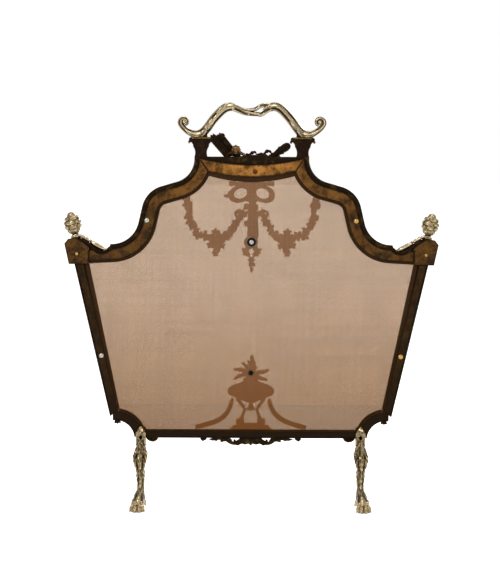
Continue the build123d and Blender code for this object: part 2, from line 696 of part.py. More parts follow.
with BuildPart() as handle:
    for moves, start, heading, thickness, count in (
            (handle_arm, handle_start, handle_rise, handle_thickness, 14),
            (handle_scroll, scroll_start, arm_heading, scroll_thickness, 16)):
        path = facet_line(moves, start, heading, count)
        with BuildSketch(Plane(origin=path @ 0, x_dir=(0, 1, 0), z_dir=path % 0)):
            RegularPolygon(thickness / 2, 8, major_radius=False, rotation=22.5)
        sweep(path=path, transition=Transition.RIGHT)
    taper_start = Plane(origin=(arm_end[0] - 1, -top_depth, arm_end[1]), x_dir=(0, 1, 0), z_dir=(1, 0, 0))
    turned_facets(taper_start, 8, [(0, handle_thickness / 2), (taper_run + 2, scroll_thickness / 2)])
    split(bisect_by=Plane.YZ, keep=Keep.TOP)
    mirror(about=Plane.YZ)
    # The two branches part and close again beside the middle.
    with BuildSketch(face_plane(0)):
        with Locations((-17.0, handle_start[1] + 4.5)):
            SlotOverall(12.0, 5.0, rotation=-handle_rise)
    extrude(amount=2 * top_depth, mode=Mode.SUBTRACT)
save("handle", handle.part)

with BuildPart() as pedestal:
    half = pedestal_width / 2
    with BuildSketch(face_plane(gauze_face)):
        with BuildLine() as half_outline:
            Line((pedestal_x, crest_z), (pedestal_x + half, crest_z))
            ThreePointArc((pedestal_x + half, crest_z),
                          (pedestal_x + half - 0.8, crest_z + pedestal_height * 0.6),
                          (pedestal_x + half + 2.5, cap_foot_z))
            ThreePointArc((pedestal_x + half + 2.5, cap_foot_z),
                          (pedestal_x + half + 5.0, cap_foot_z + cap_height * 0.4),
                          (pedestal_x + half + cap_overhang, cap_foot_z + cap_height * 0.55))
            Polyline((pedestal_x + half + cap_overhang, cap_foot_z + cap_height * 0.55),
                     (pedestal_x + half + cap_overhang, cap_top_z - 2),
                     (pedestal_x + half + cap_overhang - 3, cap_top_z),
                     (pedestal_x + half, cap_top_z), (pedestal_x + half - 1, saddle_z),
                     (pedestal_x, saddle_z))
            mirror(half_outline.edges(), about=Plane.YZ.offset(pedestal_x))
        make_face()
    extrude(amount=pedestal_depth)
    add(handle.part, mode=Mode.SUBTRACT)
save_pair("pedestal", pedestal.part)

# ---- trophy on the crest: quiver, arrow sheath, rosette, torch and ribbon ------------------------
quiver_lean = 41.0           # degrees from upright, outwards
torch_lean = 56.0
trophy_foot_z = crest_z - 4.0                       # the bars start inside the crest's top
boss_x = 29.0                                       # middle of the round boss over the quiver
boss_radius = 9.0
boss_stand = 2.5                                    # how far it stands behind the gauze's middle


def leaning_plane(foot_x, foot_z, lean):
    """A plane across a bar that starts at (foot_x, foot_z) and leans to +X (or -X) by lean."""
    axis = (sin(radians(lean)), 0, cos(radians(lean)))
    return Plane(origin=(foot_x, -top_depth, foot_z), x_dir=(0, 1, 0), z_dir=axis)


def above_crest(piece_centre_x):
    """Cut away what lies below the top of the crest rail."""
    with Locations((piece_centre_x, -top_depth, crest_z - 50)):
        Box(200, 60, 100, mode=Mode.SUBTRACT)


with BuildPart() as quiver:
    quiver_foot_x = 22.5
    base = leaning_plane(quiver_foot_x, trophy_foot_z, quiver_lean)
    turned_facets(base, 10, [(0, 5.5), (50.0, 7.0), (50.5, 8.2), (55.0, 8.2)])
    with BuildSketch(base.offset(55.0)):
        with PolarLocations(4.5, 5):
            RegularPolygon(2.0, 6)
    extrude(amount=5.0)
    above_crest(quiver_foot_x)
    add(pedestal.part, mode=Mode.SUBTRACT)
save("quiver", quiver.part)

with BuildPart() as sheath:
    sheath_foot_x = 37.5
    base = leaning_plane(sheath_foot_x, trophy_foot_z, quiver_lean)
    with BuildSketch(base):
        Rectangle(8.0, 12.5)
    extrude(amount=62.0)
    above_crest(sheath_foot_x)
    add(quiver.part, mode=Mode.SUBTRACT)
    add(pedestal.part, mode=Mode.SUBTRACT)
    add(handle.part, mode=Mode.SUBTRACT)
save("sheath", sheath.part)

with BuildPart() as torch:
    torch_foot_x = -33.0
    base = leaning_plane(torch_foot_x, trophy_foot_z, -torch_lean)
    turned_facets(base, 12, [(0, 3.0), (30.0, 8.0), (46.0, 4.5)])
    above_crest(torch_foot_x)
    add(mirror(pedestal.part, about=Plane.YZ), mode=Mode.SUBTRACT)
save("torch", torch.part)

with BuildPart() as trophy_rosette:
    with BuildSketch(face_plane(-boss_stand)):
        with Locations((boss_x, crest_z + boss_radius + 3.0)):
            RegularPolygon(boss_radius, 20)
        with Locations((boss_x, crest_z + 4.0)):
            Trapezoid(36.0, 8.0, 60.0)
    extrude(amount=boss_stand + top_depth)
    add(quiver.part, mode=Mode.SUBTRACT)
    add(sheath.part, mode=Mode.SUBTRACT)
save("trophy_rosette", trophy_rosette.part)

with BuildPart() as ribbon_knot:
    with BuildSketch(face_plane(gauze_face + 3)):
        for x, z, long_radius, short_radius, turn in (
                (-1.0, 3.5, 8.0, 4.0, 10), (-13.0, 5.0, 9.0, 4.5, -25), (-22.0, 4.0, 8.0, 4.0, 20),
                (8.0, 3.0, 6.0, 3.5, -10)):
            with Locations((x, crest_z + z)):
                oval(long_radius, short_radius, turn)
        with Locations((-8.0, crest_z + 1.5)):
            Rectangle(34.0, 5.0)
    extrude(amount=8.0)
    above_crest(-8.0)
    add(torch.part, mode=Mode.SUBTRACT)
    add(trophy_rosette.part, mode=Mode.SUBTRACT)
save("ribbon_knot", ribbon_knot.part)

# ---- castings on the gauze ----------------------------------------------------------------------
swag_hang_z = crest_z - 72.0                        # where a festoon hangs from the sight edge


def flower_chain(path, spacing, radii, flowers):
    """Overlapping round flowers strung along a curve, with a slim cord behind them."""
    with BuildLine():
        cord = Spline(*path)
    count = round(cord.length / spacing)
    for index in range(count + 1):
        spot = cord @ (index / count)
        with Locations((spot.X, spot.Y)):
            RegularPolygon(radii[index % len(radii)], 7, rotation=25 * index)
    with BuildLine():
        links = Polyline(*[cord @ (index / 6) for index in range(7)])
    trace(links, 4.0)
    for x, z, petal_radius, petal_reach in flowers:
        with Locations((x, z)):
            with PolarLocations(petal_reach, 6, start_angle=15):
                RegularPolygon(petal_radius, 6)
            RegularPolygon(petal_reach, 12)


with BuildPart() as ribbon_bow:
    bow_z = crest_sight_z - crest_sag
    with BuildSketch(face_plane(gauze_face)):
        for side in (-1, 1):
            with Locations((side * 21.0, bow_z - 16.0)):
                oval(20.5, 14.0, side * 12)
            with Locations((side * 42.0, bow_z - 22.0)):
                Rectangle(17.0, 7.0, rotation=side * -35)
        for side in (-1, 1):
            with Locations((side * 19.5, bow_z - 15.5)):
                oval(11.0, 7.5, side * 12, Mode.SUBTRACT)
        with Locations((0, bow_z - 14.0)):
            Rectangle(16.0, 28.0)
        with Locations((0, bow_z + 1.0)):
            Rectangle(82.0, 5.0)
    extrude(amount=relief)
    add(front_crest.part, mode=Mode.SUBTRACT)
save("ribbon_bow", ribbon_bow.part)

with BuildPart() as centre_drop:
    with BuildSketch(face_plane(gauze_face)):
        stem_top = bow_z - 28.0
        flower_chain([(0, stem_top), (1.5, stem_top - 30), (0, stem_top - 62)], 9.0,
                     (9.0, 7.0, 10.5, 8.0), [(-1, stem_top - 16, 5.5, 10.0)])
        with Locations((0, garland_screw[1])):
            RegularPolygon(12.5, 16)
        flower_chain([(0, garland_screw[1] - 10), (-1, garland_screw[1] - 50)], 10.0,
                     (10.0, 12.0, 7.0, 5.0), [(0, garland_screw[1] - 24, 5.0, 12.0)])
        with Locations((3.0, garland_screw[1] - 30)):
            RegularPolygon(2.5, 8, mode=Mode.SUBTRACT)
    extrude(amount=relief)
    add(ribbon_bow.part, mode=Mode.SUBTRACT)
    drill([garland_screw], gauze_face, hole_end)
save("centre_drop", centre_drop.part)

with BuildPart() as festoon:
    with BuildSketch(face_plane(gauze_face)):
        hang = (118.0, swag_hang_z)
        flower_chain([hang, (112.5, swag_hang_z - 46), (88, swag_hang_z - 76),
                      (62, swag_hang_z - 84), (38, swag_hang_z - 72), (24, swag_hang_z - 40)],
                     8.5, (6.0, 8.0, 5.5, 7.5),
                     [(64, swag_hang_z - 84, 7.0, 15.0), (111, swag_hang_z - 52, 4.0, 7.0)])
    extrude(amount=relief)
    add(centre_drop.part, mode=Mode.SUBTRACT)
    add(mirror(centre_drop.part, about=Plane.YZ), mode=Mode.SUBTRACT)
    add(front_shoulder.part, mode=Mode.SUBTRACT)
save_pair("festoon", festoon.part)

with BuildPart() as brazier:
    bowl_z = rail_top + 70.0                        # widest part of the bowl
    with BuildSketch(face_plane(gauze_face)):
        with BuildLine() as half_bowl:
            Polyline((0, bowl_z + 22), (14, bowl_z + 22), (14, bowl_z + 17), (27, bowl_z + 15))
            ThreePointArc((27, bowl_z + 15), (42, bowl_z), (22, bowl_z - 18))
            Polyline((22, bowl_z - 18), (5, bowl_z - 23), (4, bowl_z - 34), (0, bowl_z - 36))
            mirror(half_bowl.edges(), about=Plane.YZ)
        make_face()
        for side in (-1, 1):
            with BuildLine(mode=Mode.PRIVATE):
                tripod_leg = Polyline((side * 25, bowl_z - 14), (side * 14, bowl_z - 24),
                                      (side * 11, bowl_z - 33), (side * 21, bowl_z - 53))
            trace(tripod_leg, 6.0)
            with Locations((side * 21, bowl_z - 56)):
                Rectangle(16.0, 9.0)
        with Locations((0, rail_top + 9.0)):
            Rectangle(72.0, 10.0)
        with Locations((0, rail_top + 3.0)):
            Rectangle(84.0, 6.0)
    extrude(amount=relief)
save("brazier", brazier.part)

with BuildPart() as brazier_flames:
    flame_z = brazier_screw[1]
    with BuildSketch(face_plane(gauze_face)):
        with Locations((0, flame_z)):
            RegularPolygon(11.0, 12)
        for angle, reach, breadth in ((12, 35, 6), (-22, 33, 6), (168, 35, 6), (197, 33, 6), (48, 22, 7),
                                      (132, 24, 7), (90, 33, 9), (70, 26, 6), (112, 26, 6)):
            tip = (reach * cos(radians(angle)), flame_z + reach * sin(radians(angle)))
            with Locations((tip[0] / 2, (flame_z + tip[1]) / 2)):
                Polygon((-reach / 2, 0), (0, -breadth), (reach * 0.3, -breadth * 0.6), (reach / 2, 0),
                        (reach * 0.3, breadth * 0.6), (0, breadth), align=None, rotation=angle)
        with Locations((0, flame_z - 12)):
            Rectangle(20.0, 20.0)
    extrude(amount=relief)
    add(brazier.part, mode=Mode.SUBTRACT)
    drill([brazier_screw], gauze_face, hole_end)
save("brazier_flames", brazier_flames.part)

with BuildPart() as brazier_drape:
    with BuildSketch(face_plane(gauze_face)):
        with BuildLine(mode=Mode.PRIVATE):
            fold = Polyline((33, bowl_z - 8), (36, bowl_z - 28), (47, bowl_z - 45), (66, bowl_z - 57),
                            (104, bowl_z - 68))
        trace(fold, 9.0)
        for share, size in ((0.25, 7.0), (0.5, 8.0), (0.72, 8.5), (0.9, 7.0)):
            spot = fold @ share
            with Locations((spot.X, spot.Y)):
                RegularPolygon(size, 7)
    extrude(amount=relief)
    add(brazier.part, mode=Mode.SUBTRACT)
    add(brazier_flames.part, mode=Mode.SUBTRACT)
    add(front_bottom.part, mode=Mode.SUBTRACT)
save_pair("brazier_drape", brazier_drape.part)

# ---- pierced apron, buds and corner leaves ------------------------------------------------------
with BuildPart() as apron:
    with BuildSketch(face_plane(gauze_face)):
        with BuildLine() as half_apron:
            Line((0, rail_underside), (79, rail_underside))
            Polyline((79, rail_underside), (66, rail_underside - 4), (54.7, rail_underside - 6.5),
                     (42.5, rail_underside - 7), (33.8, rail_underside - 11.3),
                     (23.5, rail_underside - 13.2), (13.2, rail_underside - 10),
                     (7, rail_underside - 11), (0, rail_underside - 13.4))
            mirror(half_apron.edges(), about=Plane.YZ)
        make_face()
        for side in (-1, 1):
            with Locations((side * 31.0, rail_underside - 4.0)):
                Rectangle(11.0, 3.6, mode=Mode.SUBTRACT)
    extrude(amount=8.0)
save("apron", apron.part)

bud_depth = 7.0                                     # middle of the buds, in front of the gauze
rail_ornaments = [                                  # from the middle, radius and drop
    (87.5, 4.5, 4.5),                               # small bud beside the apron
    (leg_x - 20.0, 9.0, 11.0),                      # curled leaf beside the leg's head
]
with BuildPart() as rail_bud:
    for x, radius, drop in rail_ornaments:
        hanging = Plane(origin=(x, -bud_depth, rail_underside), z_dir=(0, 0, -1))
        turned_facets(hanging, 10, [(0, radius), (drop * 0.6, radius * 0.85), (drop, radius * 0.3)])
save_pair("rail_buds", rail_bud.part)

with BuildPart() as corner_leaf:
    leaf_spot = (corner_x - 1.0, corner_z + corner_radius - 8.0)
    leaf_near = (corner_x - 13.0, corner_z + corner_radius - 1.5)
    leaf_far = (corner_x + 5.0, corner_z + corner_radius + 3.5)
    with BuildSketch(face_plane(gauze_face + 1)):
        with BuildLine():
            Polyline(leaf_near, (leaf_near[0] + 5, leaf_spot[1] + 2.5), leaf_spot,
                     (leaf_far[0] - 1.5, leaf_spot[1] + 5), leaf_far, close=True)
        make_face()
    extrude(amount=9.0)
    add(front_corner.part, mode=Mode.SUBTRACT)
save_pair("corner_leaf", corner_leaf.part)

# ---- legs ---------------------------------------------------------------------------------------
toe_radius = 5.0
toe_fan = 11.5                                      # middle of the claw to the middle of a toe
toe_spread = (-40, -14, 14, 40)                     # headings of the toes, degrees from straight out
claw_y = foot_reach - toe_radius - toe_fan          # middle of the claw, from the gauze
claw_height = 15.0
# A leg bends at four places: height, share of the way out to the claw, and sideways.
leg_head = (leg_screw_z - 8, 0.10, 0.0)
leg_knee = (leg_screw_z - 39, 0.46, 1.5)
leg_ankle = (36.0, 0.78, 1.0)
leg_claw = (claw_height * 0.6, 1.0, claw_splay)
# Radii along each stretch between two bends, as shares of its length.
leg_stretches = [
    (leg_head, leg_knee, [(0, 6.0), (0.5, 9.0), (0.9, knee_width / 2), (1.15, knee_width / 3)]),
    (leg_knee, leg_ankle, [(0, knee_width / 3), (0.5, shank_width / 2), (1, shank_width / 2)]),
    (leg_ankle, leg_claw, [(0, shank_width / 2), (0.7, claw_width / 2 - 3)]),
]


def cast_leg(seat, side):
    """A leg's body from a head on a flat seat at this depth, side +1 behind or -1 in front."""
    half_head = leg_head_width / 2
    with BuildPart() as leg:
        with BuildSketch(face_plane(-side * seat)) as head:
            with BuildLine() as outline:
                Polyline((leg_x, leg_screw_z + leg_head_point), (leg_x + half_head, leg_screw_z + 7),
                         (leg_x + half_head, leg_screw_z - 10), (leg_x, leg_screw_z - leg_head_foot),
                         (leg_x - half_head, leg_screw_z - 10), (leg_x - half_head, leg_screw_z + 7),
                         close=True)
            make_face(outline.edges())
        extrude(head.sketch, amount=-side * leg_head_thickness)
        for upper, lower, radii in leg_stretches:
            start, end = [Vector(leg_x + sideways, side * (seat + share * (claw_y - seat)), z)
                          for z, share, sideways in (upper, lower)]
            run = end - start
            turned_facets(Plane(origin=start, x_dir=(0, run.Z, -run.Y), z_dir=run), 8,
                          [(share * run.length, radius) for share, radius in radii])
        claw = Plane(origin=(leg_x + claw_splay, side * claw_y, 0))
        turned_facets(claw, 10, [(0, claw_width / 2 - 3), (claw_height, claw_width / 2),
                                 (claw_height + 6, claw_width / 3)])
        for angle in toe_spread:
            outward = (sin(radians(angle)), side * cos(radians(angle)), -0.08)
            knuckle = Plane(origin=(leg_x + claw_splay, side * claw_y, toe_radius * 1.15), z_dir=outward)
            turned_facets(knuckle, 6, [(toe_fan * 0.5, toe_radius), (toe_fan, toe_radius),
                                       (toe_fan + toe_radius, toe_radius * 0.35)])
        with Locations((leg_x, side * (seat - 50), leg_screw_z)):
            Box(100, 100, 200, mode=Mode.SUBTRACT)
        with Locations((leg_x, side * claw_y, -10)):
            Box(100, 100, 20, mode=Mode.SUBTRACT)
        far = seat + leg_head_thickness + 20
        drill([leg_screw], min(-side * seat, -side * far), max(-side * seat, -side * far))
    return leg.part


rear_leg = cast_leg(strip_back, 1)
save_pair("rear_leg", rear_leg)
front_leg = cast_leg(frame_front, -1)
save_pair("front_leg", front_leg)

# ---- screws and washers -------------------------------------------------------------------------


def screw(point, seat, reach, side=1, head_radius=screw_head_radius):
    """A domed screw: its head on a seat at this depth, its shank reaching into the metal.

    Its head lies behind the seat (side +1) or in front of it (-1).
    """
    seat_plane = Plane(origin=(point[0], side * seat, point[1]), x_dir=(1, 0, 0),
                       z_dir=(0, side, 0))
    with BuildPart() as turned:
        turned_facets(seat_plane, 8, [(0, head_radius), (screw_head_height * 0.3, head_radius),
                                       (screw_head_height, head_radius * 0.55)])
        with BuildSketch(seat_plane) as shank:
            RegularPolygon(screw_radius, 8)
        extrude(shank.sketch, amount=-reach)
    return turned.part


with BuildPart() as strip_screws:
    for spot in (shoulder_screw, mirrored_point(shoulder_screw), side_screw,
                 mirrored_point(side_screw), crest_screw):
        add(screw(spot, strip_back, strip_thickness + gauze_thickness + screw_reach))
save("strip_screws", strip_screws.part)

with BuildPart() as block_screws:
    for spot in (block_screw, mirrored_point(block_screw)):
        add(screw(spot, plate_back, plate_thickness + gauze_face + screw_reach, head_radius=2.8))
save("block_screws", block_screws.part)

with BuildPart() as leg_screws:
    for spot in (leg_screw, mirrored_point(leg_screw)):
        add(screw(spot, strip_back + leg_head_thickness, leg_head_thickness + screw_reach))
        add(screw(spot, frame_front + leg_head_thickness, leg_head_thickness + screw_reach,
                  side=-1))
save("leg_screws", leg_screws.part)

washer_thickness = 1.2
with BuildPart() as gauze_washers:
    for spot, radius in ((garland_screw, 11.7), (brazier_screw, 6.5)):
        with BuildSketch(face_plane(-gauze_face - washer_thickness)):
            with Locations(spot):
                RegularPolygon(radius, 20)
                RegularPolygon(screw_radius + 2 * screw_clearance, 8, mode=Mode.SUBTRACT)
        extrude(amount=washer_thickness)
save("gauze_washers", gauze_washers.part)

with BuildPart() as gauze_screws:
    for spot in (garland_screw, brazier_screw):
        add(screw(spot, gauze_face + washer_thickness,
                  washer_thickness + gauze_thickness + screw_reach - 0.5, head_radius=4.8))
save("gauze_screws", gauze_screws.part)
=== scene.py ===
"""A brass fire screen in the Louis XVI taste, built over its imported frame.

Everything is drawn in millimetres, in the frame's own axes: +X to the right of someone facing the
ornamented front, -Y towards that person, +Z up. The open wire gauze, the chased castings and the
stage are made here, and the plain mouldings and strips are smoothed copies of the frame's nodes.
"""

from functools import partial
from math import atan2, cos, exp, pi, radians, sin, sqrt
from random import Random

import bmesh
import bpy
from bpy.props import FloatProperty, FloatVectorProperty, IntProperty, PointerProperty
from bpy.types import Operator, Panel, PropertyGroup
from mathutils import Matrix, Vector
from mathutils.bvhtree import BVHTree
from mathutils.geometry import interpolate_bezier


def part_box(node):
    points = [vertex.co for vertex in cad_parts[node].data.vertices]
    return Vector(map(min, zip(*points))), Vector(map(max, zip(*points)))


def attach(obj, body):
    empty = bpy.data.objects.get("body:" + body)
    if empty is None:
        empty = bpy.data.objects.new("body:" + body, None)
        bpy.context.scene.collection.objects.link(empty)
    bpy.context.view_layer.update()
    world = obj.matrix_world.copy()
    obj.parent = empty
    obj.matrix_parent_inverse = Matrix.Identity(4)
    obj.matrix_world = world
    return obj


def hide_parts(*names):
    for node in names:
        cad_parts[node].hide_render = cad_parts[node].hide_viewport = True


bl_info = {
    "name": "Brass fire screen",
    "version": (1, 0, 0),
    "blender": (4, 5, 0),
    "location": "View3D > Sidebar > Fire screen",
    "description": "Builds a brass fire screen with wire gauze, a carrying handle and ornament",
    "category": "Object",
}

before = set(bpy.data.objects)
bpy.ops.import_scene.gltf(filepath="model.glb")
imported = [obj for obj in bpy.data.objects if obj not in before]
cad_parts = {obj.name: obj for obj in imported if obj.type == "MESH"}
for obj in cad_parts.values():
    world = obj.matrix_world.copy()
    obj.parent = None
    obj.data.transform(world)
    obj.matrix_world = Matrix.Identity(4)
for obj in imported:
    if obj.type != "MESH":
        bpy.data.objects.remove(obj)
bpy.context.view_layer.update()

MM = 0.001
FRONT = Vector((0, -1, 0))
BACK = Vector((0, 1, 0))
RIGHT = Vector((1, 0, 0))
UP = Vector((0, 0, 1))
SIDES = (("right", 1), ("left", -1))
GAUZE_FACE = -0.4            # depth of the gauze's front face, where the ornament lies flat
HANDLE_DEPTH = sum(corner.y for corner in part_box("handle")) / 2 / MM
RAIL_HEAD = 0.447            # metres: below it the strips are those of the side rails
FLOOR_LINE_HEIGHT = 0.0435          # metres that the painted floor line stands above the bottom moulding


# ---- colours and finishes -----------------------------------------------------------------------


def linear(hex_code):
    """An sRGB hex colour as linear red, green and blue."""
    shares = [int(hex_code[i:i + 2], 16) / 255 for i in (0, 2, 4)]
    return [share / 12.92 if share <= 0.04045 else ((share + 0.055) / 1.055) ** 2.4
            for share in shares]


def colour_property(name, description, hex_code):
    """A colour that can be changed in the panel."""
    return FloatVectorProperty(name=name, description=description, subtype="COLOR", size=3,
                               min=0, max=1, default=linear(hex_code))


def length_property(name, description, size_mm, least_mm, most_mm):
    """A length that can be changed in the panel, kept in metres and shown in the scene's unit."""
    return FloatProperty(name=name, description=description, subtype="DISTANCE", unit="LENGTH",
                         precision=5, default=size_mm * MM, min=least_mm * MM, max=most_mm * MM)


class FireScreenColours(PropertyGroup):
    burnished: colour_property("Burnished brass", "Raised parts of handle and scrolls", "A89B82")
    chased: colour_property("Chased brass", "Raised parts of the legs and finials", "A89878")
    cast: colour_property("Cast brass", "Front of the frame and of the ornament", "B08A4A")
    gilt: colour_property("Old gilding", "Front of the blocks, pedestals and trophy", "7A5A30")
    # The backs are nearly black as painted shade, on backs that are also unpolished.
    gilt_back: colour_property("Old gilding, back", "Backs of the same pieces", "1C130E")
    # On the pedestals' cap edges this brass is also a painted highlight against their near-black
    # backs.
    rubbed: colour_property("Rubbed brass", "Boss and beads that hands have rubbed", "6E5432")
    # This colour also serves as painted shade: in hollows, along the strips' edges and gaps, and on
    # the gauze.
    hollow_dirt_and_shade: colour_property("Recesses", "Old lacquer and dirt in the hollows", "1E1408")
    # Nearly black: painted shade on the castings' unpolished backs, and on the lower and side
    # strips.
    oxide_and_shade: colour_property("Unpolished back", "Backs of the castings", "1C140D")
    # The strip's patina as lit on the crest, and shaded copies of it beside and below: painted
    # shade.
    sheet_top: colour_property("Strip, upper", "Brown patina of the crest's strip", "9C6A34")
    sheet_side_shaded: colour_property("Strip, sides", "Duller patina beside the crest", "52381A")
    sheet_low_shaded: colour_property("Strip, lower", "Sooty patina of the back strips, below", "2A1E14")
    wire: colour_property("Gauze wire", "Dull brass wire", "B09070")
    steel: colour_property("Steel screws", "Worn steel screw heads", "A8A6A2")
    brass_screw: colour_property("Brass screws", "Worn brass screw heads", "B08B4E")
    rust: colour_property("Rusty screw", "The screw in the crest's strip", "5A3018")
    washer: colour_property("Washers", "Browned washers on the gauze", "6A5240")
    # Also the black rings on the washers, which are painted shade round the screws.
    black_screw: colour_property("Blackened screw", "Screw and rings blackened by heat", "17130F")
    # Dirt and painted shade in the slots and hollows of screws and washers.
    slot: colour_property("Screw slots", "Dirt in the slots of the screws", "120E0A")
    floor: colour_property("Floor", "Floor and backdrop", "FFFFFF")


class FireScreenSizes(PropertyGroup):
    gauze_pitch: length_property("Gauze pitch", "Wire to wire", 1.6, 1.0, 8.0)
    # Real gauze of this pitch has thinner wire, which would be too fine to show as a closed weave.
    wire_diameter: length_property("Wire diameter", "Thickness of the gauze's wire", 1.25, 0.2, 2.0)
    handle_radius: length_property("Handle radius", "Branches on their slopes", 8.0, 4.0, 12.0)
    cone_rows: IntProperty(name="Pine-cone rows", description="Rows of scales on a finial",
                           default=5, min=4, max=14)
    cone_scales: IntProperty(name="Scales in a row", description="Scales round a finial",
                             default=7, min=6, max=16)
    pearl_diameter: length_property("Pearls", "Pearls along the sight edge", 4.2, 2.0, 8.0)


# Settings of the nodes that mix colours, where socket 0 takes the share and 6 and 7 the colours,
# and of those that reckon with shares from 0 to 1.
BLEND = {"data_type": "RGBA", "output": 2}
TIMES, LARGER, PLUS, LESS = ({"operation": name, "use_clamp": True}
                             for name in ("MULTIPLY", "MAXIMUM", "ADD", "SUBTRACT"))


def add_node(tree, kind, inputs=(), output=0, **settings):
    """Add a shader node, set its properties, set or link its inputs, and give one of its outputs.

    The inputs are listed in the order of the node's sockets, or given by their names or numbers.
    """
    node = tree.nodes.new(f"ShaderNode{kind}")
    for key, value in settings.items():
        setattr(node, key, value)
    for key, value in (inputs if isinstance(inputs, dict) else dict(enumerate(inputs))).items():
        socket = node.inputs[key]
        if isinstance(value, bpy.types.NodeSocket):
            tree.links.new(value, socket)
        else:
            socket.default_value = (*value, 1.0) if socket.type == "RGBA" else value
    return node.outputs[output] if node.outputs else node


def new_material(name):
    """An empty node material, and the function that adds a node to it."""
    material = bpy.data.materials.new(name)
    material.use_nodes = True
    material.node_tree.nodes.clear()
    return material, partial(add_node, material.node_tree)


def darker(colour, *factors):
    """A colour scaled by one factor, or by one for each channel."""
    return [channel * factor for channel, factor in zip(colour, factors * 3)]


def cast_brass(name, bright, hollow_dirt_and_shade, reach_mm, rough, blotch, back=None):
    """Sand-cast and chased brass: bright on its ridges, where it is partly rubbed and partly
    painted highlight, and dark in its hollows, partly with dirt and partly with painted shade.

    Hollows are found by how much a point is shut in, its ridges by their curvature, and the chased
    outlines of leaves and scales by the dirt-and-shade attribute that their forms carry. Undersides
    are darkened as painted shade.
    Where a back colour is given, faces that look to the back are left dull and nearly black, as
    painted shade on an unpolished back.
    """
    material, add = new_material(name)
    place = add("TexCoord", output="Object")
    patchy, mottled, sandy = (
        add("TexNoise", {"Vector": place, "Scale": 1 / (size_mm * MM), "Detail": detail,
                         "Roughness": 0.55})
        for size_mm, detail in ((5.0, 5.0), (3.0, 4.0), (1.6, 6.0)))
    facing = add("SeparateXYZ", [add("NewGeometry", output="Normal")]).node.outputs
    curve = add("NewGeometry", output="Pointiness")
    shut_in = add("AmbientOcclusion", {"Distance": reach_mm * MM}, "AO", samples=8)
    chased = add("Attribute", output="Fac", attribute_name="dirt_and_shade")
    # The hollows' dark is partly dirt and partly painted shade.
    dirt_and_shade = add("Math", [add("MapRange", [shut_in, 0.94, 0.6]),
                        add("MapRange", [curve, 0.5, 0.46])], **LARGER)
    dirt_and_shade = add("Math", [dirt_and_shade, add("MapRange", [chased, 0.25, 0.75])], **LARGER)
    stain_and_shade = add("Math", [add("MapRange", [patchy, 0.45, 0.51]), blotch], **TIMES)
    # The undersides are darkened, as painted shade.
    stain_and_shade = add("Math", [stain_and_shade, add("MapRange", [facing["Z"], -0.25, -0.75, 0.0, 0.9])], **LARGER)
    # Ridges are lightened: partly rubbed wear, partly painted highlight.
    ridge = add("Math", [add("MapRange", [curve, 0.505, 0.54]), 0.5], **TIMES)
    dirt_and_shade = add("Math", [add("Math", [dirt_and_shade, stain_and_shade], **LARGER), ridge], **LESS)
    warm = add("Mix", {0: add("MapRange", [mottled, 0.35, 0.7]), 6: bright,
                       7: darker(bright, 0.7, 0.62, 0.45)}, **BLEND)
    colour = add("Mix", {0: dirt_and_shade, 6: warm, 7: hollow_dirt_and_shade}, **BLEND)
    dull = add("MapRange", [dirt_and_shade, 0.0, 1.0, rough, 0.55])
    # Backs are nearly black: painted shade on an unpolished back.
    if back is not None:
        behind = add("MapRange", [facing["Y"], 0.15, 0.7])
        smeared = add("TexNoise", {"Vector": place, "Scale": 1 / (14.0 * MM), "Detail": 5.0,
                                   "Roughness": 0.55})
        rub = add("MapRange", [smeared, 0.52, 0.8, 0.0, 0.35])
        shaded_back = add("Mix", {0: rub, 6: back, 7: darker(bright, 0.35)}, **BLEND)
        colour = add("Mix", {0: behind, 6: colour, 7: shaded_back}, **BLEND)
        dull = add("Math", [dull, add("Math", [behind, 0.25], **TIMES)], **PLUS)
    rounded = add("Bevel", {"Radius": 0.5 * MM}, samples=4)
    grain = add("Bump", {"Strength": 0.25, "Distance": 0.3 * MM, "Height": sandy,
                         "Normal": rounded})
    shader = add("BsdfPrincipled", {"Base Color": colour, "Metallic": 1.0, "Roughness": dull,
                                    "Normal": grain})
    add("OutputMaterial", {"Surface": shader})
    return material


